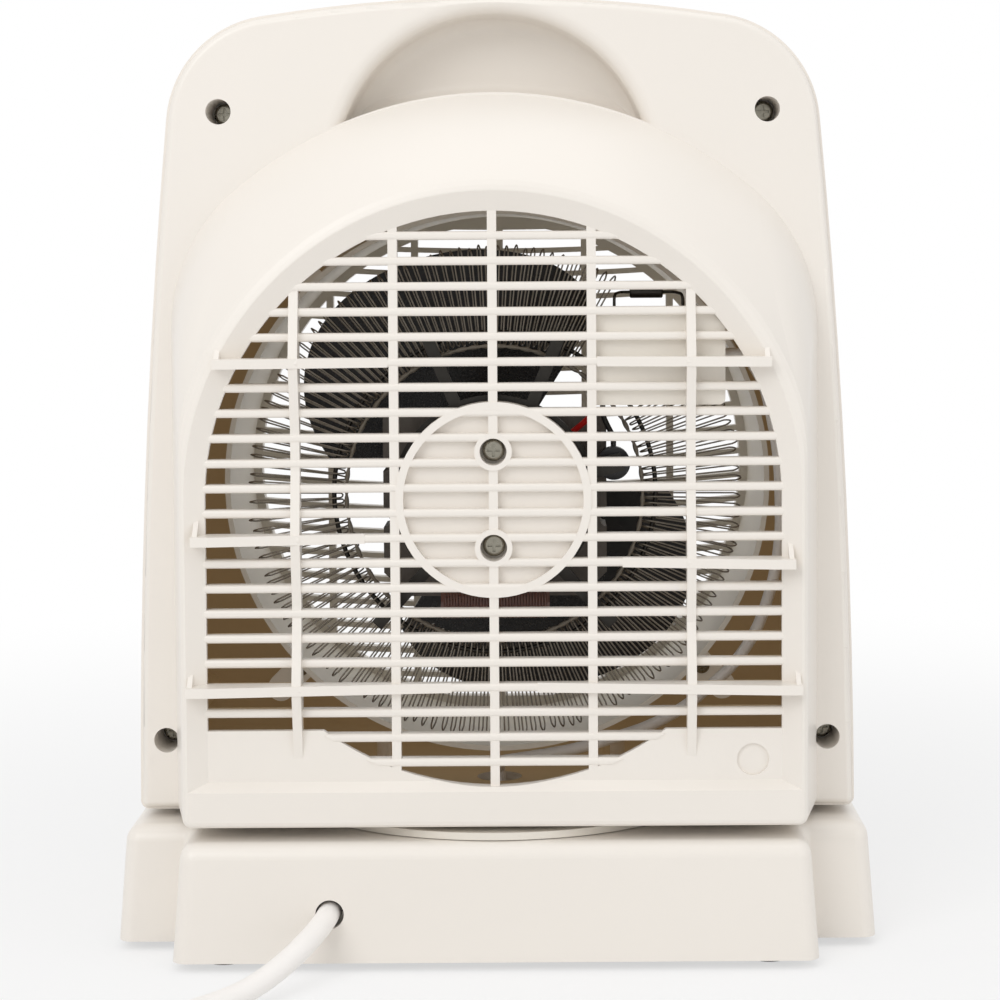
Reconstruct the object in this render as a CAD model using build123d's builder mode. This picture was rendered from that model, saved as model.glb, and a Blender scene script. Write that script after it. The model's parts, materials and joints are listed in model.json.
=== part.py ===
"""Oscillating fan heater as separate pieces, in millimetres.

+Z is up and the front faces -Y, so the back of the heater looks towards +Y.
The origin is on the floor, on the axis of the turntable.
"""
import math
import os

from build123d import *

os.makedirs("parts", exist_ok=True)

# Body outline, seen from the front or the back
body_bottom = 44.2
bottom_half_width = 122.1
waist_half_width = 118.6
waist_height = 165.0
shoulder_half_width = 107.2
shoulder_height = 308.0
crown_height = 319.5
shoulder_radius = 38.0
bottom_corner_radius = 3.0

# Body depth
front_face = -65.6
flange_back = 40.0
flange_thick = 3.2
body_wall = 2.5
front_edge_radius = 9.0
seam_step = 1.0
seam_edge_radius = 2.2
lip_height = 3.0
lip_clearance = 0.25

# Fan axis and air path
fan_axis = 153.3
duct_radius = 94.0
duct_wall = 1.8
duct_back = 8.0
ear_reach = 11.0
ear_width = 10.0
ear_thick = 3.0
ear_angle = 45.0
ear_seat = -51.6
ear_post_radius = 4.2
ear_screw_radius = 1.5
ear_screw_length = 11.0
ear_screw_clearance = 0.2
ear_head_radius = 3.0
ear_head_height = 2.0

# Arched shroud of the rear cover
arch_root_radius = 133.8
arch_root_half_width = 109.0
arch_crest_radius = 103.0
arch_crest_half_width = 102.0
arch_blend = 60.0
arch_crest = 75.0
arch_bulge = 3.0
arch_root_bottom = 44.6
arch_crest_bottom = 46.2
crest_plate = 6.0
crest_edge_radius = 2.0
arch_corner_radius = 3.2
lip_inward = 6.5
lip_depth = 3.5
lip_slope = 3.0
lower_panel_bottom = 58.0

# Grille of the rear cover
grille_radius = 94.0
grille_floor = 77.8
bar_pitch = 8.2
bar_count = 22
bar_first = 67.1
bar_thick = 2.8
bar_depth = 4.4
bar_round = 1.1
bar_back = 71.9
bar_bite = 1.0
upright_pitch = 32.2
upright_thick = 3.0
upright_drop = 0.4
fin_thick = 3.2
fin_reach = 7.8
fin_inner = {"top": 34.0, "middle": 42.0, "bottom": 14.0}
fin_outer = {"top": 90.0, "middle": 97.8, "bottom": 100.1}
fin_bar_row = {"top": 16, "middle_left": 9, "middle_right": 8, "bottom": 3}
fin_flat = 6.0
fin_web_height = 26.0
fin_gusset_inset = 1.2
fin_gusset_thick = 1.6
fin_gusset_height = 7.0
recess_radius = 5.25
recess_place = (-84.5, 67.6)
recess_depth = 1.0

# Motor seat in the grille
seat_radius = 32.0
seat_wall = 2.6
seat_depth = 7.6
seat_plate_thick = 2.8
seat_plate_drop = 3.6
seat_boss_radius = 6.15
seat_boss_front = 60.0
seat_screw_offset = 15.7
seat_screw_recess = 4.4
seat_boss_floor = 2.0

# Handle pocket
pocket_radius = 52.7
pocket_centre_height = 261.3
pocket_depth = 25.0
pocket_floor_thick = 2.4
pocket_wall = 2.2
pocket_soft_edge = 5.0
pocket_floor_radius = 5.0
pocket_arch_gap = 0.4

# Corner screws
upper_screw = (92.2, 281.4)
lower_screw = (112.5, 68.5)
corner_hole_radius = 4.25
corner_tube_wall = 1.9
corner_tube_front = 18.0
corner_tube_floor = 2.4
corner_post_radius = 4.6
corner_screw_radius = 1.9
corner_head_radius = 3.7
corner_head_height = 2.6
corner_screw_length = 16.0

# Front grille
grille_opening_radius = 97.3
grille_rim_clearance = 0.4
front_rim_width = 6.0
front_rim_proud = 2.0
front_flange_radius = 100.0
front_flange_thick = 2.0
slat_pitch = 9.0
slat_thick = 2.0
slat_depth = 5.0
slat_bow_radius = 900.0
front_upright_thick = 2.6

# Control panel
panel_height = 286.0
panel_half_width = 70.0
panel_half_height = 19.5
panel_radius = 17.0
panel_thick = 1.6
panel_chamfer = 0.6
knob_offset = 46.0
knob_radius = 16.5
knob_height = 12.0
knob_gap = 0.8
knob_grip_width = 7.0
knob_wall = 2.0
knob_draft = 4.0
knob_round = 1.2
nut_wall = 3.0
nut_thick = 2.0
nut_clear_radius = 8.2
spindle_radius = 3.0
spindle_clearance = 0.05
bushing_radius = 4.6
bushing_proud = 3.0
spindle_seat = 12.0
spindle_end_gap = 0.4
control_body_half = 13.0
control_body_depth = 19.0
control_corner = 2.0
lamp_radius = 4.0
lamp_height = 297.0
lamp_length = 12.0
lamp_proud = 1.4
lamp_collar = 1.5
rocker_height = 281.0
rocker_half_width = 9.0
rocker_half_height = 5.6
rocker_proud = 3.2
rocker_gap = 0.4
rocker_frame = 1.6
rocker_body_depth = 15.0
rocker_pivot_depth = 3.0
rocker_pin_radius = 1.2
rocker_pin_half = 6.9
rocker_frame_proud = 1.0
rocker_well = 5.5
rocker_shoulder = 1.0
rocker_foot = 3.0
rocker_dip = 2.1
rocker_tilt = 7.0
rocker_taper = 0.8

# Base
base_top = 41.5
base_skirt = 3.0
base_core_half_width = 105.8
base_core_half_depth = 80.0
base_wing_half_width = 127.7
base_wing_half_depth = 54.0
base_draft = 4.0
base_wall = 2.5
base_corner_radius = 5.0
base_top_radius = 5.5

# Turntable
turntable_gap = 0.3
disc_radius = 74.0
disc_step_radius = 69.0
disc_step_drop = 3.1
disc_step_wall = 2.4
dish_clearance = 0.8
dish_depth = 4.0
dish_floor = 2.5
hub_radius = 13.0
hub_bore = 8.0
hub_clearance = 0.05
collar_wall = 3.0
collar_length = 5.0
retainer_radius = 19.0
retainer_thick = 2.4
retainer_gap = 0.3
retainer_screw_radius = 1.2
retainer_screw_circle = 10.5
retainer_screw_length = 7.0
retainer_head_radius = 2.2
retainer_head_height = 1.4
glide_inner = 65.0
glide_outer = 69.4
glide_gap = 0.3
turntable_screw_radius = 48.0
turntable_screw_shank = 1.7
turntable_boss_radius = 4.0
turntable_boss_height = 10.0
turntable_screw_length = 10.0
turntable_head_radius = 3.4
turntable_head_height = 2.2

# Swing drive
crank_distance = 40.0
crank_throw = 17.0
crank_pin_radius = 2.5
crank_disc_rim = 3.0
crank_disc_thick = 3.0
crank_disc_gap = 1.0
crank_slot_clearance = 1.6
crank_slot_wall = 2.2
crank_slot_end = 1.0
crank_slot_roof = 1.2
crank_pin_gap = 0.4
crank_window_clearance = 0.8
crank_hub_radius = 6.0
swing_motor_radius = 23.0
swing_motor_height = 15.0
swing_motor_top = 26.5
swing_shaft_radius = 3.5
swing_shaft_depth = 7.0
swing_ear_offset = 29.0
swing_ear_radius = 4.5
swing_ear_thick = 1.2
swing_post_radius = 3.5
swing_screw_radius = 1.5
swing_screw_length = 7.0
swing_head_radius = 2.8
swing_head_height = 1.6

# Base plate and what stands on it
plate_thick = 2.0
plate_height = 3.0
plate_clearance = 0.4
foot_radius = 8.0
foot_inset = (15.8, 16.0)
base_post_radius = 4.5
base_post_inset = 9.8
base_post_back_inset = 10.0
base_post_spread = 40.0
base_post_side_inset = 27.8
base_screw_radius = 1.6
base_head_radius = 3.1
base_head_height = 1.7
base_screw_length = 9.0

# Tip-over switch
tip_inset = 13.8
plunger_radius = 3.2
plunger_clearance = 0.06
plunger_collar_radius = 5.4
plunger_collar_height = 13.0
plunger_collar_thick = 2.0
plunger_top = 20.0
guide_top = 9.7
guide_wall = 2.0
tip_switch_bottom = 22.0
tip_switch_height = 12.0
tip_switch_size = (20.0, 12.0)
tip_post_size = (8.0, 6.0)
tip_spring_radius = 4.4
tip_spring_wire = 0.35
tip_spring_turns = 5
tip_spring_gap = 0.05

# Motor
mount_plate_thick = 1.5
mount_plate_radius = 33.6
mount_hole_radius = 8.0
mount_screw_clearance = 0.2
arm_width = 4.0
arm_reach = 58.0
bracket_disc_radius = 22.0
bracket_thick = 2.0
bracket_half_length = 33.0
bracket_width = 16.0
bracket_leg_radius = 4.0
front_bracket_back = 15.0
front_disc_radius = 12.0
bolt_head_radius = 3.0
bolt_head_height = 2.0
bolt_end_gap = 0.1
stack_bolt_offset = 29.0
stack_bolt_radius = 1.7
stator_front = 26.0
stator_length = 20.0
stator_half_width = 37.5
stator_half_height = 26.0
stator_corner = 8.0
stator_notch = 2.2
stator_notch_height = 9.5
rotor_radius = 14.6
rotor_length = 18.0
rotor_gap = 0.4
limb_drop = 30.0
limb_height = 10.0
window_half_width = 18.5
window_height = 7.1
winding_wall = 6.6
winding_clearance = 0.3
winding_round = 2.0
motor_shaft_radius = 2.0
motor_shaft_front = -39.0
motor_shaft_back = 56.0
bush_clearance = 0.04
bush_radius = 4.0
bush_length = 6.0
bearing_boss_radius = 6.5
motor_screw_radius = 1.75
motor_head_radius = 3.7
motor_head_height = 2.4
motor_screw_length = 8.0

# Fan
fan_middle = -29.0
fan_pitch_rise = 20.0
blade_thick = 1.8
blade_first_angle = 52.0
blade_sweep = 130.0
blade_root_radius = 10.0
blade_outer_radius = 88.0
# Edge of the blade as seen from the back: turn from the right in degrees, and radius
blade_edge = ((58, 69.6), (72, 77.6), (90, 81.3), (113, 83.8), (133, 84.9), (146, 82.4), (159, 75.4),
              (169, 66.8), (176, 60.1))
hub_cap_radius = 12.0
hub_cap_length = 16.0
fan_nut_radius = 4.0
fan_nut_thick = 2.0

# Heating element
element_depth = 46.0
element_inner = 51.6
element_outer = 80.6
element_wire_radius = 0.4
element_leg_offset = 2.4
element_turns = 66
element_step = 5.0
element_first_angle = 151.25
ring_wire_radius = 0.8
carrier_ring_radius = 54.0
second_ring_radius = 49.4
second_ring_depth = 51.5
ring_hole_clearance = 0.05
card_thick = 0.6
card_inner = 47.0
card_front = 41.0
card_angles = (67.5, 112.5, 227.5, 312.5)
terminal_half = 2.0
terminal_radius = 66.0
terminal_front = 42.4

# Connection box
box_left = -75.9
box_right = -30.8
box_bottom = 183.8
box_top = 215.5
box_depth = 14.0
box_wall = 1.6
box_corner = 2.0
box_lid_thick = 2.0
fuse_place = (-50.8, 51.6, 220.4)
fuse_radius = 2.0
fuse_length = 11.0
fuse_lead_radius = 0.5
cutout_radius = 5.5
cutout_thick = 5.0
cutout_angle = 165.0
cutout_distance = 41.0
cutout_tab_width = 6.0
cutout_tab_reach = 44.0
inner_lead_radius = 2.0
leads_meet = 47.0
motor_lead_radius = 1.0
cutout_lead_radius = 0.9

# Mains lead
lead_radius = 3.7
lead_hole_radius = 4.65
lead_exit = (54.1, 18.8)
coil_centre_x = 69.0
coil_distance = 137.0
cord_straight = 31.0
coil_outer = 49.5
coil_pitch = 7.9
coil_floor = 4.7
coil_turns_in = 2.5
coil_turns_out = 2.25
coil_climb = 7.9
coil_dip = 1.4
coil_step = 30.0
coil_tail = 22.0
plug_length = 36.0
plug_half_width = 17.5
plug_round = 8.0
plug_end_round = 2.0
relief_length = 22.0
relief_start = 4.7
relief_draft = 7.0
pin_radius = 2.4
pin_spacing = 19.0
pin_length = 19.0
tie_thick = 0.8
tie_width = 10.0
tie_clearance = 0.7
tie_bottom_gap = 0.2
tie_angle = 45.0
terminal_block_size = (24.0, 18.0, 12.0)
terminal_block_inset = 16.0
terminal_well_radius = 2.0
terminal_well_depth = 3.0
clamp_half_width = 11.0
clamp_inset = 10.0
clamp_length = 8.0
clamp_split = 0.6
clamp_roof = 2.3
clamp_screw_offset = 7.6
clamp_screw_radius = 1.4
clamp_screw_length = 10.0
clamp_head_radius = 2.6
clamp_head_height = 1.6

# Places worked out from the sizes above
flange_front = flange_back - flange_thick
front_inner = front_face + body_wall
duct_front = front_inner + front_flange_thick
seat_screw_back = seat_boss_front + seat_boss_floor
bar_front = bar_back - bar_depth
plate_back = seat_boss_front
plate_front = plate_back - mount_plate_thick
stator_back = stator_front + stator_length
deck = base_top - dish_depth
disc_bottom = base_top + turntable_gap
pieces = {}


def facing_front(depth):
    """Plane at this depth: its x is +X, its y is +Z, and it extrudes towards the front."""
    return Plane(origin=(0, depth, 0), x_dir=(1, 0, 0), z_dir=(0, -1, 0))


def on_axis(depth):
    """The same plane with its origin on the fan's axis."""
    return Plane(origin=(0, depth, fan_axis), x_dir=(1, 0, 0), z_dir=(0, -1, 0))


def mirrored(places):
    """Each place and its mirror image across the middle plane."""
    return [(side * x, z) for x, z in places for side in (-1, 1)]


def around(radius, angles):
    """Points on a circle, at these angles in degrees."""
    return [(radius * math.cos(math.radians(a)), radius * math.sin(math.radians(a))) for a in angles]


def pan_screw(head_radius, head_height, shank_radius, shank_length):
    """Cross-recessed screw with its head above the plane and its shank below."""
    with BuildPart() as screw:
        with BuildSketch():
            Circle(head_radius)
        extrude(amount=head_height)
        fillet(screw.edges().group_by(Axis.Z)[-1], radius=head_height * 0.45)
        with BuildSketch(Plane.XY.offset(head_height)):
            Rectangle(head_radius * 1.15, head_radius * 0.26)
            Rectangle(head_radius * 0.26, head_radius * 1.15)
        extrude(amount=-head_height * 0.55, mode=Mode.SUBTRACT)
        with BuildSketch():
            Circle(shank_radius)
        extrude(amount=-shank_length)
    return screw.part


def bend_radii(points):
    """Largest arcs that fit the runs of a lead: 0.45 of the shorter run over tan of half the turn."""
    radii = []
    for before, here, after in zip(points, points[1:], points[2:]):
        run_in = Vector(*here) - Vector(*before)
        run_out = Vector(*after) - Vector(*here)
        half_turn = math.radians(run_in.get_angle(run_out)) / 2
        radii.append(0.45 * min(run_in.length, run_out.length) / math.tan(half_turn))
    return radii


def lead_tube(points, radius):
    """Round lead along straight runs joined by tangent arcs."""
    radii = bend_radii(points)
    with BuildPart() as tube:
        with BuildLine():
            route = FilletPolyline(*points, radius=radii)
        with BuildSketch(Plane(origin=route @ 0, z_dir=route % 0)):
            Circle(radius)
        sweep(path=route)
    ideal = math.pi * radius ** 2 * route.length
    print("lead", "radii", [round(r, 1) for r in radii], "length", round(route.length, 1),
          "volume share", round(tube.part.volume / ideal, 4))
    return tube.part


def biarc(start, start_way, end, end_way):
    """Two arcs from one point and direction to another, joined without a kink."""
    across = end - start
    sum_way = start_way + end_way
    share = 2 * (1 - start_way.dot(end_way))
    dot = across.dot(sum_way)
    if share < 1e-9:
        reach = across.dot(across) / (4 * across.dot(end_way))
    else:
        reach = (-dot + math.sqrt(dot * dot + share * across.dot(across))) / share
    first = start + start_way * reach
    last = end - end_way * reach
    middle = (first + last) * 0.5
    return [Edge.make_tangent_arc(start, start_way, middle),
            Edge.make_tangent_arc(middle, last - first, end)]


def wound_wire(stations, radius):
    """Round wire through stations of (point, direction, straight), as runs and biarcs."""
    edges = []
    for (start, start_way, straight), (end, end_way, _) in zip(stations, stations[1:]):
        if straight:
            edges.append(Edge.make_line(start, end))
        else:
            edges.extend(biarc(start, start_way, end, end_way))
    path = Wire(edges)
    with BuildPart() as wire:
        with BuildSketch(Plane(origin=path @ 0, z_dir=path % 0)):
            Circle(radius)
        sweep(path=path)
    print("wound wire", "length", round(path.length, 1), "volume share",
          round(wire.part.volume / (math.pi * radius ** 2 * path.length), 4))
    return wire.part, path


def least_gap(path, radius, step, skip):
    """Least clear gap between stretches of a wound wire, measured on points along it."""
    count = int(path.length / step)
    points = [path @ (i / count) for i in range(count + 1)]
    grid = {}
    cell = 4 * radius
    for index, point in enumerate(points):
        key = (int(point.X // cell), int(point.Y // cell), int(point.Z // cell))
        grid.setdefault(key, []).append(index)
    least = 1e9
    for (cx, cy, cz), members in grid.items():
        near = [i for dx in (-1, 0, 1) for dy in (-1, 0, 1) for dz in (-1, 0, 1)
                for i in grid.get((cx + dx, cy + dy, cz + dz), [])]
        for one in members:
            for other in near:
                if other - one > skip / step:
                    least = min(least, (points[one] - points[other]).length)
    return least - 2 * radius


# Outline of the body
with BuildSketch() as body_outline:
    with BuildLine():
        ThreePointArc((bottom_half_width, body_bottom), (waist_half_width, waist_height),
                      (shoulder_half_width, shoulder_height))
        ThreePointArc((shoulder_half_width, shoulder_height), (0, crown_height),
                      (-shoulder_half_width, shoulder_height))
        ThreePointArc((-shoulder_half_width, shoulder_height), (-waist_half_width, waist_height),
                      (-bottom_half_width, body_bottom))
        Line((-bottom_half_width, body_bottom), (bottom_half_width, body_bottom))
    make_face()
    fillet(body_outline.vertices().group_by(Axis.Y)[-1], radius=shoulder_radius)
    fillet(body_outline.vertices().group_by(Axis.Y)[0], radius=bottom_corner_radius)


def arch_section(depth, inset):
    """Section of the arched shroud at this depth, drawn in by the inset."""
    share = (depth - flange_back) / (arch_crest - flange_back)
    swell = arch_bulge * 4 * share * (1 - share)
    half = arch_root_half_width + (arch_crest_half_width - arch_root_half_width) * share - inset
    radius = arch_root_radius + (arch_crest_radius - arch_root_radius) * share + swell - inset
    low = arch_root_bottom + (arch_crest_bottom - arch_root_bottom) * share + inset
    blend = arch_blend - inset
    centre_x = half - blend
    centre_z = fan_axis + math.sqrt((radius - blend) ** 2 - centre_x ** 2)
    turn = math.atan2(centre_z - fan_axis, centre_x)
    join_x = radius * math.cos(turn)
    join_z = fan_axis + radius * math.sin(turn)
    mid_turn = turn / 2
    mid_x = centre_x + blend * math.cos(mid_turn)
    mid_z = centre_z + blend * math.sin(mid_turn)
    with BuildSketch(facing_front(depth)) as section:
        with BuildLine():
            Line((-half, low), (half, low))
            Line((half, low), (half, centre_z))
            ThreePointArc((half, centre_z), (mid_x, mid_z), (join_x, join_z))
            ThreePointArc((join_x, join_z), (0, fan_axis + radius), (-join_x, join_z))
            ThreePointArc((-join_x, join_z), (-mid_x, mid_z), (-half, centre_z))
            Line((-half, centre_z), (-half, low))
        make_face()
        fillet(section.vertices().group_by(Axis.Y)[0], radius=arch_corner_radius - inset)
    return section.sketch


def arch_body(front, back, inset):
    """Shroud volume between two depths, drawn in by the inset."""
    with BuildPart() as volume:
        for depth in (front, (front + back) / 2, back):
            add(arch_section(depth, inset))
        loft()
    return volume.part


def arch_edge(low_turn, high_turn):
    """Slice of the shroud's rounded crest edge, between two turns of a quarter round in degrees."""
    with BuildPart() as slice_part:
        for turn in (low_turn, high_turn):
            depth = arch_crest - crest_edge_radius * (1 - math.sin(math.radians(turn)))
            add(arch_section(depth, crest_edge_radius * (1 - math.cos(math.radians(turn)))))
        loft(ruled=True)
    return slice_part.part


def grille_opening(extra, floor, dips):
    """Outline of the grille's opening: an arch over a straight floor, which may dip in an arc."""
    reach = grille_radius + extra
    with BuildSketch() as opening:
        with BuildLine():
            ThreePointArc((reach, fan_axis), (0, fan_axis + reach), (-reach, fan_axis))
            Line((-reach, fan_axis), (-reach, floor))
            if dips:
                dip = math.sqrt(reach ** 2 - (fan_axis - floor) ** 2)
                Line((-reach, floor), (-dip, floor))
                ThreePointArc((-dip, floor), (0, fan_axis - reach), (dip, floor))
                Line((dip, floor), (reach, floor))
            else:
                Line((-reach, floor), (reach, floor))
            Line((reach, floor), (reach, fan_axis))
        make_face()
    return opening.sketch


def bar_height(row):
    """Height of a grille bar, counted from the lowest."""
    return bar_first + row * bar_pitch


# Bars and uprights of the rear grille
with BuildPart() as grille_bars:
    with BuildSketch(Plane.YZ.offset(-arch_crest_half_width)) as bar_ends:
        with Locations(*[(bar_back - bar_depth / 2, bar_height(row)) for row in range(bar_count)]):
            Rectangle(bar_depth, bar_thick)
        fillet(bar_ends.vertices().group_by(Axis.X)[-1], radius=bar_round)
    extrude(amount=2 * arch_crest_half_width)
    with BuildSketch(facing_front(bar_back - upright_drop)):
        with Locations(*[(column * upright_pitch, fan_axis) for column in (-2, -1, 0, 1, 2)]):
            Rectangle(upright_thick, 2 * grille_radius + 4)
    extrude(amount=bar_depth - upright_drop)
    with BuildSketch(facing_front(arch_crest)):
        add(grille_opening(bar_bite, grille_floor - bar_bite, True))
    extrude(amount=arch_crest - bar_front + 1, mode=Mode.INTERSECT)

# Fins that stand on some bars, with webs that lift the outer uprights to them
with BuildPart() as fins:
    for side, level in ((1, "top"), (-1, "top"), (1, "middle_left"), (-1, "middle_right"),
                        (1, "bottom"), (-1, "bottom")):
        height = bar_height(fin_bar_row[level])
        kind = level.split("_")[0]
        inner = fin_inner[kind]
        outer = fin_outer[kind]
        slope_end = outer - fin_flat
        with BuildSketch(Plane.XY.offset(height - fin_thick / 2)):
            with BuildLine():
                Polyline((side * inner, bar_back - bar_depth / 2), (side * inner, bar_back),
                         (side * slope_end, bar_back + fin_reach), (side * outer, bar_back + fin_reach),
                         (side * outer, bar_back - bar_depth / 2), close=True)
            make_face()
        extrude(amount=fin_thick)
        rise = fin_reach * (2 * upright_pitch - inner) / (slope_end - inner)
        with BuildSketch(Plane.YZ.offset(side * 2 * upright_pitch - upright_thick / 2)):
            with BuildLine():
                Polyline((bar_back - bar_round, height - fin_web_height), (bar_back + rise, height),
                         (bar_back - bar_round, height + fin_web_height), close=True)
            make_face()
        extrude(amount=upright_thick)
        # Small gusset on top of the fin's outer end
        with BuildSketch(Plane.YZ.offset(side * (outer - fin_gusset_inset) - fin_gusset_thick / 2)):
            with BuildLine():
                Polyline((bar_back, height), (bar_back + fin_reach, height),
                         (bar_back, height + fin_gusset_height), close=True)
            make_face()
        extrude(amount=fin_gusset_thick)

seat_screw_places = ((0, seat_screw_offset), (0, -seat_screw_offset))

# Seat of the motor: ring, plate and two screw bosses
with BuildPart() as motor_seat:
    with BuildSketch(on_axis(bar_back)):
        Circle(seat_radius)
        Circle(seat_radius - seat_wall, mode=Mode.SUBTRACT)
    extrude(amount=seat_depth)
    with BuildSketch(on_axis(bar_back - seat_plate_drop)):
        Circle(seat_radius - seat_wall / 2)
    extrude(amount=seat_plate_thick)
    with BuildSketch(on_axis(bar_back)):
        with Locations(*seat_screw_places):
            Circle(seat_boss_radius)
    extrude(amount=bar_back - seat_boss_front)

# Tubes for the corner screws and the shell of the handle pocket
with BuildPart() as cover_tubes:
    with BuildSketch(facing_front(flange_front + lip_height)):
        with Locations(*mirrored([upper_screw, lower_screw])):
            Circle(corner_hole_radius + corner_tube_wall)
    extrude(amount=flange_front + lip_height - corner_tube_front)
    with BuildSketch(facing_front(flange_front + 1)):
        with Locations((0, pocket_centre_height)):
            Circle(pocket_radius + pocket_wall)
        with Locations((0, fan_axis)):
            Circle(arch_root_radius - pocket_wall, mode=Mode.SUBTRACT)
    extrude(amount=flange_front + 1 - flange_back + pocket_depth + pocket_floor_thick)

# Handle pocket, with a rounded floor and a soft rim
with BuildPart() as pocket_cut:
    with BuildSketch(facing_front(flange_back + 1)):
        with Locations((0, pocket_centre_height)):
            Circle(pocket_radius)
        with Locations((0, fan_axis)):
            Circle(arch_root_radius + pocket_arch_gap, mode=Mode.SUBTRACT)
    extrude(amount=pocket_depth + 1)
    fillet(pocket_cut.faces().sort_by(Axis.Y)[0].edges(), radius=pocket_floor_radius)

with BuildPart() as pocket_rim:
    with BuildSketch(Plane(origin=(0, flange_back, pocket_centre_height), x_dir=(1, 0, 0), z_dir=(0, 0, 1))):
        with Locations((pocket_radius + (pocket_soft_edge - 1) / 2, (1 - pocket_soft_edge) / 2)):
            Rectangle(pocket_soft_edge + 1, pocket_soft_edge + 1)
        with Locations((pocket_radius + pocket_soft_edge, -pocket_soft_edge)):
            Circle(pocket_soft_edge, mode=Mode.SUBTRACT)
    revolve(axis=Axis((0, 0, pocket_centre_height), (0, 1, 0)))
    with BuildSketch(facing_front(flange_back + 2)):
        with Locations((0, fan_axis)):
            Circle(arch_root_radius + pocket_arch_gap)
    extrude(amount=2 * pocket_soft_edge, mode=Mode.SUBTRACT)

# Everything that is cut out of the rear cover
with BuildPart() as cover_cuts:
    with BuildSketch(on_axis(bar_back + 1)):
        with Locations(*seat_screw_places):
            Circle(seat_screw_recess)
    extrude(amount=bar_back + 1 - seat_screw_back)
    with BuildSketch(on_axis(bar_back)):
        with Locations(*seat_screw_places):
            Circle(motor_screw_radius)
    extrude(amount=bar_back - seat_boss_front + 1)
    with BuildSketch(facing_front(arch_crest - lip_depth)):
        with Locations(recess_place):
            Circle(recess_radius)
    extrude(amount=recess_depth)
    with BuildSketch(facing_front(arch_crest)):
        with Locations(*mirrored([upper_screw, lower_screw])):
            Circle(corner_hole_radius)
    extrude(amount=arch_crest - corner_tube_front - corner_tube_floor)
    with BuildSketch(facing_front(flange_front)):
        with Locations(*mirrored([upper_screw, lower_screw])):
            Circle(corner_screw_radius)
    extrude(amount=flange_front - corner_tube_front + 1)
    add([pocket_cut.part, pocket_rim.part])

# Rear cover
with BuildPart() as rear_cover:
    with BuildSketch(facing_front(flange_back)):
        offset(body_outline.sketch, amount=-seam_step)
    extrude(amount=flange_thick)
    fillet(rear_cover.faces().sort_by(Axis.Y)[-1].outer_wire().edges(), radius=seam_edge_radius)
    with BuildSketch(facing_front(flange_front)):
        offset(body_outline.sketch, amount=-body_wall - lip_clearance)
        offset(body_outline.sketch, amount=-2 * body_wall - lip_clearance, mode=Mode.SUBTRACT)
    extrude(amount=lip_height)
    add([arch_body(flange_front, arch_crest - crest_edge_radius, 0)]
        + [arch_edge(turn, turn + 30) for turn in (0, 30, 60)])
    # Hollow of the shroud
    add(arch_body(flange_front - 1, arch_crest - crest_plate, body_wall), mode=Mode.SUBTRACT)
    with BuildSketch(facing_front(arch_crest + 1)):
        add(grille_opening(0, grille_floor, True))
    extrude(amount=crest_plate + 2, mode=Mode.SUBTRACT)
    # Sloped lip round the grille and the lower panel
    with BuildSketch(facing_front(arch_crest - lip_depth)):
        add(grille_opening(0, lower_panel_bottom + lip_slope, False))
    with BuildSketch(facing_front(arch_crest + 0.01)):
        add(grille_opening(lip_inward, lower_panel_bottom, False))
    loft(mode=Mode.SUBTRACT)
    add([grille_bars.part, fins.part, motor_seat.part, cover_tubes.part])
    add(cover_cuts.part, mode=Mode.SUBTRACT)
pieces["rear_cover"] = rear_cover.part

control_places = {"thermostat": -knob_offset, "selector": knob_offset}
ear_middle = duct_radius + duct_wall + ear_reach
ear_places = around(ear_middle, [ear_angle + 90 * k for k in range(4)])
turntable_screw_places = around(turntable_screw_radius, (30, 150, 210, 330))
panel_front = front_face - panel_thick
rocker_frame_half = (rocker_half_width + rocker_gap + rocker_frame, rocker_half_height + rocker_gap + rocker_frame)

# Front housing
with BuildPart() as housing_cavity:
    with BuildSketch(facing_front(flange_front)):
        offset(body_outline.sketch, amount=-body_wall)
    extrude(amount=flange_front - front_inner)
    fillet(housing_cavity.faces().sort_by(Axis.Y)[0].edges(), radius=front_edge_radius - body_wall)

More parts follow.
